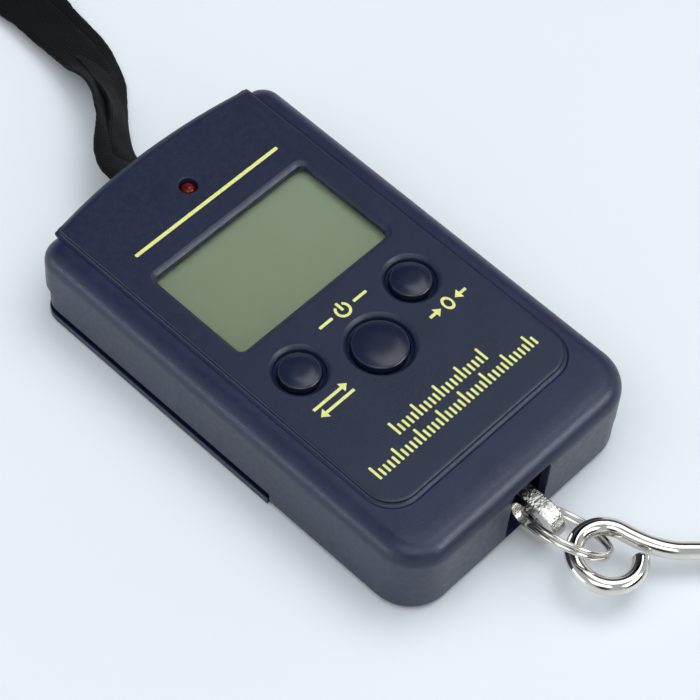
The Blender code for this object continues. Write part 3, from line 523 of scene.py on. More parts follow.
EPOXY = speckled("epoxy", (0.008, 0.008, 0.009), (0.016, 0.016, 0.016), 900.0, (0.22, 0.36))
FOIL = speckled("gauge_film", (0.36, 0.17, 0.03), (0.48, 0.25, 0.07), 2200.0, (0.30, 0.45))


def make_ink():
    material = new_material("yellow_ink")
    n = Nodes(material)
    n.colour(n.ramp(n.noise(1800.0, 3.0), (0.25, (0.70, 0.71, 0.20)), (0.6, (0.84, 0.85, 0.29))))
    n.rough(n.levels(n.noise(2400.0, 2.0), 0.42, 0.58))
    n.bump(n.noise(4200.0, 2.0), 0.008 * MM)
    return material


def make_lcd():
    """Reflective grey-green cell with painted shade: a little darker and warmer towards its near corner."""
    material = new_material("lcd_cell", Specular_IOR_Level=0.6)
    n = Nodes(material)
    # Painted shade: the colour slope darkens the cell towards its -X, -Y corner; the noise adds slight random
    # mottling.
    slope = n.math("ADD", n.math("MULTIPLY", n.axis("X"), 10.0), n.math("MULTIPLY", n.axis("Y"), 12.0))
    shade = n.math("ADD", slope, n.math("MULTIPLY", n.noise(160.0, 2.0), 0.12))
    share = n.levels(shade, 0.0, 1.0, -0.15, 0.5)
    n.colour(n.ramp(share, (0.0, (0.290, 0.342, 0.208)), (1.0, (0.384, 0.470, 0.310))))
    n.rough(n.levels(n.noise(3000.0, 1.0), 0.30, 0.38))
    n.bump(n.noise(6000.0, 1.0), 0.002 * MM)
    return material


def make_clear():
    material = new_material("clear_acrylic", Alpha=0.12, Specular_IOR_Level=0.5)
    n = Nodes(material)
    n.colour(n.ramp(n.noise(200.0), (0.3, (0.018, 0.022, 0.016)), (0.7, (0.026, 0.030, 0.024))))
    n.rough(n.levels(n.noise(700.0), 0.04, 0.09))
    return material


def make_led():
    material = new_material("led_lens", Specular_IOR_Level=0.3)
    n = Nodes(material)
    n.colour(n.ramp(n.voronoi(1500.0), (0.0, (0.22, 0.004, 0.002)), (0.6, (0.09, 0.002, 0.001))))
    n.rough(n.levels(n.noise(1800.0), 0.08, 0.16))
    return material


def make_board():
    """Green solder mask with darker lanes where the traces run."""
    material = new_material("board_mask")
    n = Nodes(material)
    lanes = n.math("MULTIPLY", n.wave(160.0, "X", 3.0), n.wave(140.0, "Y", 3.0))
    n.colour(n.ramp(lanes, (0.10, (0.010, 0.085, 0.030)), (0.22, (0.022, 0.150, 0.055))))
    n.rough(n.levels(n.noise(1200.0), 0.32, 0.46))
    n.bump(lanes, 0.02 * MM)
    return material


def make_zebra():
    material = new_material("zebra_rubber")
    n = Nodes(material)
    n.colour(n.ramp(n.wave(2500.0, "X"), (0.4, (0.62, 0.40, 0.44)), (0.6, (0.03, 0.03, 0.03))))
    n.rough(n.levels(n.noise(1500.0), 0.60, 0.75))
    return material


def make_cell_wrap(end_x):
    """A dark sleeve with a metallic band towards the cell's positive end."""
    material = new_material("cell_wrap")
    n = Nodes(material)
    share = n.levels(n.axis("X"), 0.0, 1.0, -end_x, end_x)
    sleeve, band = (0.015, 0.02, 0.04), (0.50, 0.30, 0.10)
    n.colour(n.ramp(share, (0.0, (0.55, 0.55, 0.54)), (0.03, sleeve), (0.70, sleeve),
                    (0.71, band), (0.96, band), (0.97, (0.60, 0.60, 0.58))))
    n.rough(n.levels(n.noise(900.0), 0.22, 0.34))
    n.bump(n.noise(1600.0), 0.01 * MM)
    return material


def make_sleeve(name, dark, light):
    return speckled(name, dark, light, 2500.0, (0.40, 0.55))


def make_webbing():
    """Black woven tape: ribs across it, yarns along it, lint and slight fading."""
    material = new_material("black_webbing", Sheen_Weight=0.03, Sheen_Roughness=0.5, Specular_IOR_Level=0.12)
    n = Nodes(material)
    uv = n.tree.nodes.new("ShaderNodeUVMap")
    uv.uv_map = "weave"
    place = uv.outputs["UV"]
    ribs = n.wave(0.55, "Y", 0.4, place)
    yarns = n.wave(0.50, "X", 0.5, place)
    weave = n.math("MULTIPLY", ribs, yarns)
    lint = n.noise(260.0, 4.0)
    n.colour(n.ramp(n.math("ADD", n.math("MULTIPLY", weave, 0.45), n.math("MULTIPLY", lint, 0.6)),
                    (0.15, (0.0012, 0.0014, 0.0018)), (0.80, (0.0066, 0.0076, 0.0092))))
    n.rough(n.levels(lint, 0.72, 0.92))
    n.bump(n.math("ADD", weave, n.math("MULTIPLY", n.noise(1500.0, 3.0), 0.6)), 0.10 * MM)
    return material


# Strap

def build_strap():
    """Flat tape along the route, standing on its edge where it turns back at the loop's end."""
    count = 520
    route = smooth_route(STRAP_ROUTE, count)
    points = route[:, :3] * MM
    lean = np.radians(route[:, 3])
    half_w, half_t = STRAP_WIDTH / 2, STRAP_THICK / 2
    across_steps = 13

    def section(share):
        along = share * STRAP_LENGTH
        swell = 0.16 * MM * noise.noise(Vector((along * 260, 0.0, 3.0)))
        ripple = 0.5 * MM * min(1.0, 8 * share, 8 * (1 - share))
        tape = []
        for side in (1, -1):
            for k in range(across_steps):
                a = side * (1 - 2 * k / (across_steps - 1))
                edge = 0.16 * MM * noise.noise(Vector((along * 900, math.copysign(5.0, a), 0.0)))
                rise = ripple * noise.noise(Vector((along * 130, a * 0.8, 7.0)))
                thick = half_t * (0.55 if abs(a) == 1 else 1.0)
                tape.append((a * (half_w + swell + edge), rise + side * thick))
        return tape

    strap = sweep("wrist_strap_tape", points, section, lean)
    mesh = strap.data
    per_loop = 2 * across_steps
    uv = mesh.uv_layers.new(name="weave")
    for loop in mesh.loops:
        row, k = divmod(loop.vertex_index, per_loop)
        across = k if k < across_steps else per_loop - 1 - k
        uv.data[loop.index].uv = (across / (across_steps - 1) * 8.4, row / (count - 1) * STRAP_LENGTH / MM)
    show(strap, "case", "black_strap", make_webbing(), replaces=("wrist_strap",))


build_strap()


# Case outlines

CORNER_STEPS = 20


def case_outline(grow):
    hook_r = HOOK_CORNER_R + grow
    wing_r = max(WING_CORNER_R + grow, 0.3 * MM)
    x = CASE_HALF_W + grow
    low = HOOK_END_Y - grow
    high = WING_END_Y + grow
    return (
        arc(-x + hook_r, low + hook_r, hook_r, 180, 270, CORNER_STEPS)
        + arc(x - hook_r, low + hook_r, hook_r, 270, 360, CORNER_STEPS)
        + arc(x - wing_r, high - wing_r, wing_r, 0, 90, CORNER_STEPS)
        + arc(-x + wing_r, high - wing_r, wing_r, 90, 180, CORNER_STEPS)
    )


def rear_outline(grow):
    hook_r = HOOK_CORNER_R + grow
    wing_r = max(WING_CORNER_R + grow, 0.3 * MM)
    x = CASE_HALF_W + grow
    low = HOOK_END_Y - grow
    wing_y = WING_END_Y - REAR_END_TRIM + grow - wing_r
    bow_centre_y = PANEL_END_Y - REAR_END_TRIM - PANEL_BOW_R
    bow_half = math.degrees(math.asin(REAR_BOW_HALF_W / PANEL_BOW_R))
    return (
        arc(-x + hook_r, low + hook_r, hook_r, 180, 270, CORNER_STEPS)
        + arc(x - hook_r, low + hook_r, hook_r, 270, 360, CORNER_STEPS)
        + arc(x - wing_r, wing_y, wing_r, 0, 76, CORNER_STEPS)
        + arc(0.0, bow_centre_y, PANEL_BOW_R + grow, 90 - bow_half, 90 + bow_half, 40)
        + arc(-x + wing_r, wing_y, wing_r, 104, 180, CORNER_STEPS)
    )


def panel_outline(grow, half_w=PANEL_HALF_W, low=PANEL_BOTTOM_Y):
    x = half_w + grow
    corner_r = max(PANEL_CORNER_R + grow, 0.5 * MM)
    end_r = PANEL_END_CORNER_R
    bow_centre_y = PANEL_END_Y + grow - PANEL_BOW_R
    bow_half = math.degrees(math.asin((x - end_r) / PANEL_BOW_R))
    end_y = bow_centre_y + PANEL_BOW_R * math.cos(math.radians(bow_half)) - end_r
    return (
        arc(-x + corner_r, low - grow + corner_r, corner_r, 180, 270, CORNER_STEPS)
        + arc(x - corner_r, low - grow + corner_r, corner_r, 270, 360, CORNER_STEPS)
        + arc(x - end_r, end_y, end_r, 0, 80, 10)
        + arc(0.0, bow_centre_y, PANEL_BOW_R, 90 - bow_half, 90 + bow_half, 60)[1:-1]
        + arc(-x + end_r, end_y, end_r, 100, 180, 10)
    )


def wide_outline(grow):
    return panel_outline(grow, half_w=30 * MM, low=-50 * MM)


def rounded_box(low_x, low_y, high_x, high_y, radius, steps=8):
    def outline(grow):
        r = max(radius + grow, 0.05 * MM)
        x0, y0, x1, y1 = low_x - grow, low_y - grow, high_x + grow, high_y + grow
        return (
            arc(x0 + r, y0 + r, r, 180, 270, steps)
            + arc(x1 - r, y0 + r, r, 270, 360, steps)
            + arc(x1 - r, y1 - r, r, 0, 90, steps)
            + arc(x0 + r, y1 - r, r, 90, 180, steps)
        )
    return outline


# The mouth and the strap's slot are cut along Y: local x, y, z become world x, z, -y
ALONG_Y = Matrix(((1, 0, 0), (0, 0, -1), (0, 1, 0))).to_4x4()


def mouth_cutter(name):
    outline = rounded_box(-MOUTH_HALF_W, MOUTH_Z[0], MOUTH_HALF_W, MOUTH_Z[1], 0.5 * MM)
    flare = 0.25 * MM
    face = -HOOK_END_Y
    soft = 0.07 * MM
    profile = [(0, face - 3 * MM), (0, face - flare), (soft, face - soft), (flare, face), (flare, face + MM)]
    return loft(name, outline, profile, ALONG_Y)


def slot_cutter(name):
    outline = rounded_box(-SLOT_HALF_W, SLOT_Z[0], SLOT_HALF_W, SLOT_Z[1], 1.0 * MM)
    return loft(name, outline, [(0, -PANEL_END_Y - 2 * MM), (0, -WING_END_Y + 3 * MM)], ALONG_Y)


def from_panel_top(profile):
    """A profile in mm about the panel's top, in metres and at its height."""
    return [(grow * MM, PANEL_TOP + z * MM) for grow, z in profile]


def raised_panel(base):
    panel = loft("panel", panel_outline, [(PANEL_RISE[0][0] * MM, base), *from_panel_top(PANEL_RISE)])
    end_r = PANEL_END_EDGE_R
    end_round = loft("end_round", wide_outline, [
        (0.0, base - 2 * MM), *fillet((0.0, PANEL_TOP - end_r), (-end_r, PANEL_TOP + 0.004 * MM), 10),
    ])
    combine(panel, ("INTERSECT", end_round))
    return panel


def swept_foot():
    foot = loft("foot", panel_outline, from_panel_top(PANEL_FOOT))
    inner = -0.3 * MM
    combine(foot, ("INTERSECT", loft("inside", case_outline, [(inner, 10 * MM), (inner, 20 * MM)])))
    return foot


def dish_cutter(name, x, y, cap_r, dish_r):
    hole_r = cap_r + 0.25 * MM
    rim_r = dish_r + 0.18 * MM
    wide = dish_r - hole_r
    slope = [(hole_r + wide * share, -DISH_DEPTH * depth) for share, depth in DISH_SLOPE]
    return turned(f"{name}_dish", [
        (0, 0.5 * MM), (rim_r, 0.5 * MM), (rim_r, 0.002 * MM), (dish_r + 0.08 * MM, -0.03 * MM), *slope,
        (hole_r, -3 * MM), (0, -3 * MM),
    ], (x, y, PANEL_TOP), 72)


def lamp_hole_cutter():
    hole_r = LED_R + 0.15 * MM
    rim_r = hole_r + 0.3 * MM
    return turned("led_hole", [
        (0, 0.5 * MM), (rim_r, 0.5 * MM), (rim_r, 0.002 * MM),
        (hole_r + 0.09 * MM, -0.09 * MM), (hole_r, -0.3 * MM), (hole_r, -3 * MM), (0, -3 * MM),
    ], (0, LED_Y, PANEL_TOP), 48)


def build_front_shell():
    base = SEAM[1]
    edge = fillet((0.0, CASE_TOP - FRONT_EDGE_R), (-FRONT_EDGE_R, CASE_TOP - CROWN), 14)
    crown = [(-FRONT_EDGE_R - 0.6 * MM, CASE_TOP - 0.4 * CROWN), (-FRONT_EDGE_R - 1.6 * MM, CASE_TOP)]
    shell = loft("front_case", case_outline, [(-0.10 * MM, base), (0.0, base + 0.10 * MM), *edge, *crown])
    ditch = loft("ditch", panel_outline, from_panel_top(PANEL_DITCH))
    under = base - 1 * MM
    room = loft("room", case_outline, [(-WALL, under), (-WALL, 15.1 * MM)])
    panel_room = loft("panel_room", panel_outline, [(-WALL, under), (-WALL, WINDOW_SKIN)])
    window = loft("window", rounded_box(*WINDOW, WINDOW_CORNER_R),
                  [(0.0, WINDOW_SKIN - 0.5 * MM), *from_panel_top(WINDOW_BEVEL)])
    steps = [("DIFFERENCE", ditch), ("UNION", swept_foot()), ("UNION", raised_panel(base)),
             ("DIFFERENCE", room), ("DIFFERENCE", panel_room), ("DIFFERENCE", window)]
    steps += [("DIFFERENCE", dish_cutter(*button)) for button in BUTTONS]
    steps.append(("DIFFERENCE", lamp_hole_cutter()))
    steps += [("DIFFERENCE", mouth_cutter("front_mouth")), ("DIFFERENCE", slot_cutter("front_slot"))]
    combine(shell, *steps)
    even_shading(shell)
    show(shell, "case", "navy_plastic", CASE, PANEL, replaces=("front_shell",))
    for face in shell.data.polygons:
        inside = abs(face.center.x) < PANEL_HALF_W + 0.3 * MM and face.center.y > PANEL_BOTTOM_Y - 0.3 * MM
        face.material_index = 1 if inside and face.center.z > DITCH_TOP else 0


def bay_walls(low_z):
    """Thin walls around the two cells, open underneath."""
    x0, y0, x1, y1 = BAY
    outer = rounded_box(x0 - BAY_WALL, y0 - BAY_WALL, x1 + BAY_WALL, y1 + BAY_WALL, 0.3 * MM, 2)
    walls = loft("bay_walls", outer, [(0, low_z), (0, BAY_TOP)])
    combine(walls, ("DIFFERENCE", box("bay_inside", (x0, y0, 0), (x1, y1, BAY_TOP - BAY_WALL))))
    return walls


def build_rear_shell():
    top = SEAM[0]
    bottom = fillet((-CASE_FOOT_R, 0.0), (REAR_INSET, CASE_FOOT_R), 8, level=True)
    soft = 0.08 * MM
    shell = loft("rear_case", rear_outline, [*bottom, (REAR_INSET, top - soft), (REAR_INSET - soft, top)])
    half = CASE_HALF_W + 2 * MM
    door_room = box("door_room", (-half, DOOR_Y - 0.3 * MM, -1 * MM), (half, PANEL_END_Y + 2 * MM, DECK_Z))
    deck_top = DECK_Z + 1.4 * MM
    room = loft("room", rear_outline, [(-WALL, deck_top), (-WALL, top + 1 * MM)])
    hook_room = loft("hook_room", rear_outline, [(-WALL, WALL), (-WALL, deck_top + 1 * MM)])
    combine(hook_room, ("INTERSECT", box("limit", (-half, -60 * MM, 0), (half, DOOR_Y - 1.9 * MM, 9 * MM))))
    bay = box("bay", (*BAY[:2], 0), (*BAY[2:], 8 * MM))
    cutters = [door_room, room, hook_room, bay, mouth_cutter("rear_mouth"), slot_cutter("rear_slot")]
    cutters += [screw_well(x, y, 2.2 * MM, 2.45 * MM) for x, y in HOOK_SCREWS]
    cutters += [screw_well(0.0, y, 1.1 * MM, 2.4 * MM) for y in CELL_SCREW_YS]
    combine(shell, *[("DIFFERENCE", cutter) for cutter in cutters])
    even_shading(shell)
    combine(shell, ("UNION", bay_walls(deck_top - 0.2 * MM)))
    show(shell, "case", "navy_plastic", CASE, replaces=("rear_shell",))


def screw_well(x, y, depth, radius):
    soft = 0.2 * MM
    rim_r = radius + soft
    profile = [(0, -1 * MM), (rim_r, -1 * MM), (rim_r, 0), (radius, soft), (radius, depth), (0, depth)]
    return turned("well", profile, (x, y, 0), 32)


def grip_groove(y):
    """One of the shallow grooves across the door that a thumb pushes on."""
    half_w, half_h = 8 * MM, 0.4 * MM
    soft = 0.12 * MM
    return loft("groove", rounded_box(-half_w, y - half_h, half_w, y + half_h, 0.35 * MM, 5), [
        (soft, -0.5 * MM), (soft, 0.0), (0, soft), (0, 0.25 * MM), (-0.15 * MM, 0.35 * MM),
    ])


def door_arrow():
    """A triangle sunk in the door, pointing the way it slides."""
    middle_y = 22.3
    corners = [(-3.2, 21.0), (3.2, 21.0), (0.0, 25.0)]

    def outline(grow):
        return [(x * MM * (1 + grow), (middle_y + (y - middle_y) * (1 + grow)) * MM) for x, y in corners]

    return loft("arrow", outline, [(0.06, -0.5 * MM), (0.06, 0.0), (0.0, 0.12 * MM), (0.0, 0.3 * MM)])


def build_door():
    step_z, step_in = DOOR_STEP
    soft = 0.2 * MM
    bottom = fillet((-DOOR_FOOT_R, 0.0), (DOOR_PROUD, DOOR_FOOT_R), 6, level=True)
    shoulder = fillet((DOOR_PROUD, step_z - soft), (DOOR_PROUD - soft, step_z), 4)
    channel_z = step_z - 0.9 * MM
    channel = [(-0.30 * MM, step_z - 0.12 * MM), (-0.45 * MM, channel_z), (-step_in, channel_z)]
    door = loft("battery_door_cover", rear_outline, [*bottom, *shoulder, *channel, (-step_in, DOOR_TOP)])
    half = CASE_HALF_W + 1 * MM
    limit = loft("limit", rounded_box(-half, DOOR_Y, half, PANEL_END_Y + 4 * MM, 1.0 * MM), [
        (-0.25 * MM, -0.001 * MM), (-0.07 * MM, 0.07 * MM), (0, 0.3 * MM), (0, 2.75 * MM),
        (-0.2 * MM, DOOR_TOP + 0.001 * MM),
    ])
    room = loft("room", rear_outline, [(-WALL, 1.5 * MM), (-WALL, 6 * MM)])
    combine(room, ("INTERSECT", box("room_limit", (-half, DOOR_Y + WALL, 0), (half, 60 * MM, 10 * MM))))
    first_y, pitch = 27.4 * MM, 1.8 * MM
    grooves = [("DIFFERENCE", grip_groove(first_y + i * pitch)) for i in range(5)]
    combine(door, ("INTERSECT", limit), ("DIFFERENCE", room), *grooves)
    combine(door, ("DIFFERENCE", door_arrow()))
    even_shading(door)
    show(door, "battery_door", "navy_plastic", CASE, replaces=("battery_door",))


def build_buttons():
    """Domed caps with a soft shoulder, on a flange under the panel."""
    turn = math.radians(CAP_TURN)
    turn_in, turn_up = math.sin(turn), math.cos(turn)
    flange_top, flange_base = -2.5 * MM, -3.25 * MM
    for name, x, y, cap_r, _ in BUTTONS:
        crown_r = cap_r - CAP_SHOULDER
        crown = [(crown_r * k / 10, -CAP_CROWN * (k / 10) ** 3.6) for k in range(11)]
        side = [(crown_r + CAP_SHOULDER * (math.sin(t) - turn_in) / (1 - turn_in),
                 -CAP_CROWN - 0.8 * CAP_SHOULDER * (turn_up - math.cos(t)))
                for t in np.radians(np.linspace(CAP_TURN, 90, 10))]
        flange_r = cap_r + CAP_FLANGE
        profile = [*crown, *side[1:], (cap_r, flange_top), (flange_r, flange_top), (flange_r, flange_base),
                   (0.0, flange_base)]
        cap = turned(f"{name}_cap", profile, (x, y, BUTTON_TOP), 72)
        show(cap, f"{name}_button", "button_plastic", CAP, replaces=(f"{name}_button",))


def build_led():
    dome = [(LED_R * math.sin(t), LED_R * math.cos(t)) for t in np.radians(np.linspace(0, 90, 12))]
    low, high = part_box("indicator_led")
    centre_z = high.z - LED_R
    base = low.z - centre_z
    base_top = low.z + LED_BASE_H - centre_z
    profile = [*dome, (LED_R, base_top), (LED_BASE_R, base_top), (LED_BASE_R, base), (0.0, base)]
    led = turned("led_lamp", profile, (0, LED_Y, centre_z), 40)
    show(led, "case", "led_red", make_led(), replaces=("indicator_led",))


# Printed marks

def print_mark(name, shapes, at=(0.0, 0.0)):
    """Thin raised ink: each shape is a closed outline in mm about the mark's own middle."""
    low, high = PANEL_TOP - 0.02 * MM, PANEL_TOP + 0.025 * MM
    bm = bmesh.new()
    for shape in shapes:
        bottom = [bm.verts.new(((x + at[0]) * MM, (y + at[1]) * MM, low)) for x, y in shape]
        top = [bm.verts.new((v.co.x, v.co.y, high)) for v in bottom]
        for i in range(len(bottom)):
            j = (i + 1) % len(bottom)
            bm.faces.new((bottom[i], bottom[j], top[j], top[i]))
        bm.faces.new(bottom[::-1])
        bm.faces.new(top)
    mark = add_object(name, mesh_from(bm, name))
    show(mark, "case", "navy_plastic", INK)


def bar(x0, y0, x1, y1, radius=0.12):
    r = min(radius, abs(x1 - x0) / 2.05, abs(y1 - y0) / 2.05)
    return (arc(x0 + r, y0 + r, r, 180, 270, 3) + arc(x1 - r, y0 + r, r, 270, 360, 3)
            + arc(x1 - r, y1 - r, r, 0, 90, 3) + arc(x0 + r, y1 - r, r, 90, 180, 3))


def open_ring(cx, cy, outer, inner, start, end, stretch=1.0):
    steps = 28
    points = arc(0, 0, outer, start, end, steps) + arc(0, 0, inner, end, start, steps)
    return [(cx + x * stretch, cy + y) for x, y in points]


def arrow(tail, tip, y, half=0.28, head=1.0):
    way = math.copysign(1.0, tip - tail)
    neck = tip - way * 1.3
    points = [
        (tail, y - half), (neck, y - half), (neck, y - head), (tip, y),
        (neck, y + head), (neck, y + half), (tail, y + half),
    ]
    return points if way > 0 else points[::-1]


def tick_rule(width, y, pitch):
    """A plain graduated rule: short ticks with a tall one at every fifth, on a base line."""
    count = int(width / pitch)
    start = -count * pitch / 2
    shapes = []
    for i in range(count + 1):
        x = start + i * pitch
        tall = 2.9 if i % 5 == 0 else 1.75
        shapes.append(bar(x - 0.24, y - 1.45, x + 0.24, y - 1.45 + tall))
    return shapes


def build_prints():
    print_mark("print_line", [bar(-16.9, 29.05, 16.9, 29.75, 0.2)])
    print_mark("print_power", [
        open_ring(0, 0, 1.55, 1.05, 125, 415), bar(-0.27, -0.1, 0.27, 1.75),
        bar(-5.6, -0.28, -2.5, 0.28), bar(2.5, -0.28, 5.6, 0.28),
    ], (0.4, -2.5))
    print_mark("print_unit", [arrow(-3.9, 3.9, 0.85), arrow(3.9, -3.9, -0.85)], (-13.6, -14.0))
    ring = open_ring(0, 0, 1.45, 0.85, 90.01, 449.99, 0.72)
    print_mark("print_tare", [ring, arrow(-4.4, -1.7, 0), arrow(4.4, 1.7, 0)], (14.1, -13.8))
    print_mark("print_rule_short", tick_rule(21.0, -24.7, 1.05))
    print_mark("print_rule_long", tick_rule(38.0, -28.4, 1.05))


# Hook train

def build_pull_eye():
    """A stamped plate on edge: smooth faces, and a rim torn rough by the die."""
    eye_y, eye_z = EYE_CENTRE

    def outline(grow):
        r = EYE_R + grow
        back = EYE_SHOULDER + grow
        return arc(eye_y, eye_z, r, 100, 260, 48) + [
            (EYE_BACK_Y - EYE_NECK, eye_z - r), (EYE_BACK_Y, eye_z - back),
            (EYE_BACK_Y, eye_z + back), (EYE_BACK_Y - EYE_NECK, eye_z + r),
        ]

    def hole(grow):
        front, back = EYE_HOLE_Y
        r = EYE_HOLE_R + grow
        return arc(front, EYE_HOLE_Z, r, 90, 270, 24) + arc(back, EYE_HOLE_Z, r, -90, 90, 24)

    def pin_hole(grow):
        return arc(EYE_PIN_Y, eye_z, EYE_PIN_HOLE_R, 0, 350, 35)

    stand = Matrix(((0, 0, 1), (1, 0, 0), (0, 1, 0))).to_4x4()
    half = EYE_T / 2
    soft, mid = 0.35 * MM, 0.1 * MM
    body = [(-soft, -half), (-mid, -half + mid), (0, -half + soft), (0, half - soft), (-mid, half - mid),
            (-soft, half)]
    plate = loft("eye_plate", outline, body, stand)
    deep = half + 0.5 * MM
    flare, bend = 0.3 * MM, 0.08 * MM
    cut = loft("eye_hole", hole, [
        (flare, -deep), (flare, -half), (bend, -half + bend), (0, -half + flare),
        (0, half - flare), (bend, half - bend), (flare, half), (flare, deep),
    ], stand)
    pin_cut = loft("eye_pin_hole", pin_hole, [(0, -deep), (0, deep)], stand)
    combine(plate, ("DIFFERENCE", cut), ("DIFFERENCE", pin_cut))
    even_shading(plate, math.radians(50))
    show(plate, "case", "bright_nickel", NICKEL_RING, NICKEL_ROUGH, replaces=("pull_eye",))
    for face in plate.data.polygons:
        away = math.hypot(face.center.y - eye_y, face.center.z - eye_z)
        rim = abs(face.normal.x) < 0.5 and away > EYE_R - 0.4 * MM
        face.material_index = 1 if rim else 0


def round_ends(radius, share, count):
    """Radius along a wire of count places whose two ends are slightly rounded off."""
    place = min(share, 1 - share) * (count - 1)
    return radius * (0.80, 0.97)[round(place)] if place < 1.5 else radius


def build_split_ring():
    long = RING_LONG.normalized()
    side = (RING_SIDE - long * RING_SIDE.dot(long)).normalized()
    normal = long.cross(side)
    count = 336
    points = []
    for degrees in np.linspace(25, 695, count):
        shift = min(max((degrees - 340) / 40, 0.0), 1.0)
        shift = shift * shift * (3 - 2 * shift)
        angle = math.radians(degrees) + RING_START
        around = long * math.cos(angle) + side * math.sin(angle)
        points.append(RING_CENTRE + around * RING_R + normal * RING_TURN_OFFSET * (2 * shift - 1))
    ring = sweep("split_ring_wire", points,
                 lambda share: round_section(round_ends(RING_WIRE_R, share, count), 16))
    show(ring, "split_ring", "bright_nickel", NICKEL_RING, replaces=("split_ring",))


def tangent(a, b):
    step = np.subtract(b, a)
    return step / np.linalg.norm(step)


def bezier(a, a_dir, b, b_dir, steps):
    a, b = np.array(a), np.array(b)
    reach = np.linalg.norm(b - a) / 3
    p1, p2 = a + np.array(a_dir) * reach, b - np.array(b_dir) * reach
    return [tuple((1 - t)**3 * a + 3 * t * (1 - t)**2 * p1 + 3 * t * t * (1 - t) * p2 + t**3 * b)
            for t in np.linspace(0, 1, steps + 1)]


def hook_path():
    """The hook's middle line in its own plane: round the eye, down the shank and round the bowl."""
    eye = arc(0, 0, HOOK_EYE_R, HOOK_CUT, -306, 90)
    bowl = arc(*HOOK_BOWL_CENTRE, HOOK_BOWL_R, 122, -118, 90)
    offset = HOOK_SHANK_OFFSET
    shank = [(13.0 * MM, offset), (15.0 * MM, offset), (17.0 * MM, offset), (20.5 * MM, offset + 0.3 * MM)]
    first = bezier(eye[-1], tangent(eye[-2], eye[-1]), shank[0], (1, 0), 28)
    second = bezier(shank[-1], tangent(shank[-2], shank[-1]), bowl[0], tangent(bowl[0], bowl[1]), 24)
    away = tangent(bowl[-2], bowl[-1])
    flare = bezier(bowl[-1], away, (bowl[-1][0] - 4.2 * MM, bowl[-1][1] - 2.6 * MM), (-0.62, -0.78), 14)
    return eye + first[1:-1] + shank + second[1:-1] + bowl + flare[1:]


def build_hook():
    along = HOOK_ALONG.normalized()
    across = (HOOK_ACROSS - along * HOOK_ACROSS.dot(along)).normalized()
    flat = np.array(hook_path())
    line = smooth_route(np.column_stack([flat, np.zeros(len(flat))]), 380)
    points = [HOOK_EYE_CENTRE + along * a + across * b for a, b, _ in line]
    count = len(points)
    hook = sweep("hook_wire", points,
                 lambda share: round_section(round_ends(HOOK_WIRE_R, share, count), 28))
    show(hook, "hook", "bright_nickel", NICKEL, replaces=("hook",))


# Screws seen from behind

def build_screws():
    """Pan heads with a cross recess, looking out of the rear wells."""
    wells = [(f"case_screw_{i + 1}", x, y, CASE_SCREW_RIM_Z) for i, (x, y) in enumerate(HOOK_SCREWS)]
    wells += [(f"load_cell_screw_{i + 1}", 0.0, y, CELL_SCREW_RIM_Z) for i, y in enumerate(CELL_SCREW_YS)]
    long, thin = 1.15 * MM, 0.24 * MM
    for name, x, y, rim_z in wells:
        low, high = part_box(name)
        head = rim_z - low.z
        profile = [
            (0, low.z), (1.2 * MM, low.z + 0.06 * head), (1.8 * MM, low.z + 0.30 * head),
            (SCREW_HEAD_R, low.z + 0.65 * head), (SCREW_HEAD_R, rim_z), (SCREW_SHANK_R, rim_z),
            (SCREW_SHANK_R, high.z - 0.8 * MM), (0, high.z),
        ]
        screw = turned(f"{name}_head", profile, (x, y, 0), 40)
        recess_z = low.z + 0.59 * head
        arms = [box("arm", (x - w, y - h, low.z - 1 * MM), (x + w, y + h, recess_z))
                for w, h in ((long, thin), (thin, long))]
        combine(screw, *[("DIFFERENCE", arm) for arm in arms])
        even_shading(screw)
        show(screw, "case", "zinc_screw", ZINC, replaces=(name,))


INK = make_ink()

build_front_shell()
build_rear_shell()
build_door()
build_buttons()
build_led()
build_prints()
build_pull_eye()
build_split_ring()
build_hook()
build_screws()


# CAD nodes that stay as they are

def dress_nodes():
    looks = {
        "lcd_panel": make_lcd(), "lcd_lens": make_clear(), "circuit_board": make_board(),
        "zebra_strip": make_zebra(), "controller_chip": EPOXY, "load_cell_bar": ALUMINIUM,
        "upper_strain_gauge": FOIL, "lower_strain_gauge": FOIL,
        "gauge_wire_red": make_sleeve("sleeve_red", (0.36, 0.012, 0.012), (0.50, 0.020, 0.018)),
        "gauge_wire_black": make_sleeve("sleeve_black", (0.010, 0.010, 0.010), (0.020, 0.020, 0.020)),
        "gauge_wire_green": make_sleeve("sleeve_green", (0.012, 0.20, 0.04), (0.020, 0.30, 0.06)),
        "gauge_wire_white": make_sleeve("sleeve_white", (0.68, 0.68, 0.66), (0.82, 0.82, 0.80)),
        "battery_1": make_cell_wrap(24 * MM), "battery_2": make_cell_wrap(-24 * MM),
    }
    for name in ("eye_pin", "strap_pin", "contact_positive", "contact_negative", "contact_bridge",
                 "negative_spring", "bridge_spring"):
        looks[name] = STEEL
    for name, *_ in BUTTONS:
        looks[f"{name}_switch_dome"] = STEEL
    for name in ("board_screw_1", "board_screw_2", "case_screw_3", "case_screw_4"):
        looks[name] = ZINC
    for name, material in looks.items():
        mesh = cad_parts[name].data
        mesh.materials.clear()
        mesh.materials.append(material)


dress_nodes()


# Floor and light

def build_stage():
    bm = bmesh.new()
    bmesh.ops.create_grid(bm, x_segments=2, y_segments=2, size=3.0)
    floor = add_object("floor", mesh_from(bm, "floor"))
    floor.location.z = -0.05 * MM
    material = new_material("pale_floor", roughness=0.45, Specular_IOR_Level=0.35)
    n = Nodes(material)
    n.colour(n.ramp(n.noise(6.0), (0.3, (0.85, 0.88, 0.905)), (0.7, (0.87, 0.90, 0.925))))
    floor.data.materials.append(material)


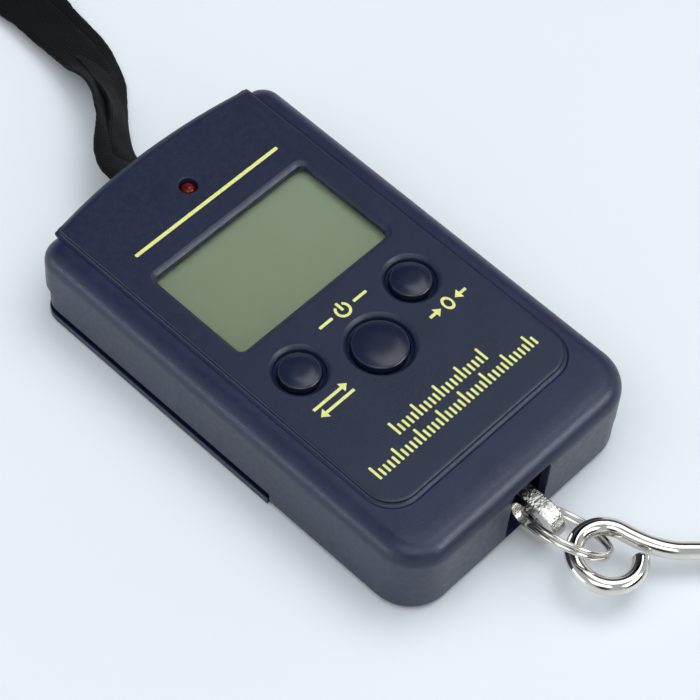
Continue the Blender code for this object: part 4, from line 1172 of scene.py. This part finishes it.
def area_light(name, location, size, watts, colour):
    """A rectangular lamp that faces the origin."""
    data = bpy.data.lights.new(name, "AREA")
    data.shape = "RECTANGLE"
    data.size, data.size_y = size
    data.energy = watts
    data.color = colour
    light = bpy.data.objects.new(name, data)
    light.location = location
    light.rotation_euler = (-Vector(location)).to_track_quat("-Z", "Y").to_euler()
    bpy.context.scene.collection.objects.link(light)
    return light


COOL = (0.93, 0.97, 1.0)
# The surroundings' colour by height, from the horizon up
SKY = (
    (0.0, (0.80, 0.84, 0.88)), (0.1, (0.70, 0.74, 0.78)),
    (0.35, (0.50, 0.53, 0.56)), (1.0, (0.46, 0.49, 0.52)),
)

# The studio's unlit parts: direction, then the angles (degrees) at which each starts and stops fading
DARKENING = 0.93
DARK_ZONES = (
    ((0.10, 0.60, 0.79), 26.0, 42.0),
    ((0.62, 0.30, 0.72), 16.0, 30.0),
    ((0.43, -0.90, 0.05), 14.0, 32.0),
    ((-0.66, -0.60, 0.40), 6.0, 20.0),
)


def spot(tree, place, way, inner, outer):
    """One inside the cone about a direction, nothing outside it, with a soft edge."""
    dot = tree.nodes.new("ShaderNodeVectorMath")
    dot.operation = "DOT_PRODUCT"
    dot.inputs[1].default_value = Vector(way).normalized()
    tree.links.new(place, dot.inputs[0])
    fade = tree.nodes.new("ShaderNodeMapRange")
    fade.interpolation_type = "SMOOTHSTEP"
    fade.inputs["From Min"].default_value = math.cos(math.radians(outer))
    fade.inputs["From Max"].default_value = math.cos(math.radians(inner))
    tree.links.new(dot.outputs["Value"], fade.inputs["Value"])
    return fade.outputs["Result"]


def build_lamps():
    """Three lamps seen only in reflections, one that only lights, and one that does both."""
    area_light("top", (0.40, -0.06, 1.0), (0.66, 0.66), 3.0, COOL)
    key = area_light("key", (0.40, -0.80, 0.62), (0.7, 0.32), 5.6, COOL)
    side = area_light("side", (-0.97, 0.36, 0.14), (0.9, 0.16), 2.2, (0.88, 0.945, 1.0))
    front = area_light("front", (-0.44, -0.44, 0.84), (0.7, 0.45), 2.2, (0.95, 0.98, 1.0))
    for light in (key, side, front):
        light.visible_diffuse = False
    fill = area_light("fill", (-0.16, 0.05, 1.1), (1.6, 1.6), 10.0, COOL)
    fill.visible_glossy = False


def build_world():
    """Soft surroundings, brightest at the horizon, with the unlit parts taken out."""
    world = bpy.data.worlds.new("studio")
    bpy.context.scene.world = world
    world.use_nodes = True
    tree = world.node_tree
    background = tree.nodes["Background"]
    place = tree.nodes.new("ShaderNodeTexCoord").outputs["Generated"]
    split = tree.nodes.new("ShaderNodeSeparateXYZ")
    tree.links.new(place, split.inputs["Vector"])
    ramp = tree.nodes.new("ShaderNodeValToRGB")
    set_ramp(ramp, SKY)
    tree.links.new(split.outputs["Z"], ramp.inputs["Fac"])
    tree.links.new(ramp.outputs["Color"], background.inputs["Color"])
    strength = None
    for way, inner, outer in DARK_ZONES:
        rest = tree.nodes.new("ShaderNodeMath")
        rest.operation = "MULTIPLY_ADD"
        rest.inputs[1].default_value = -DARKENING
        rest.inputs[2].default_value = 1.0
        tree.links.new(spot(tree, place, way, inner, outer), rest.inputs[0])
        if strength is None:
            strength = rest.outputs["Value"]
            continue
        both = tree.nodes.new("ShaderNodeMath")
        both.operation = "MULTIPLY"
        tree.links.new(strength, both.inputs[0])
        tree.links.new(rest.outputs["Value"], both.inputs[1])
        strength = both.outputs["Value"]
    tree.links.new(strength, background.inputs["Strength"])


build_stage()
build_lamps()
build_world()
bpy.context.scene.view_settings.view_transform = "Standard"
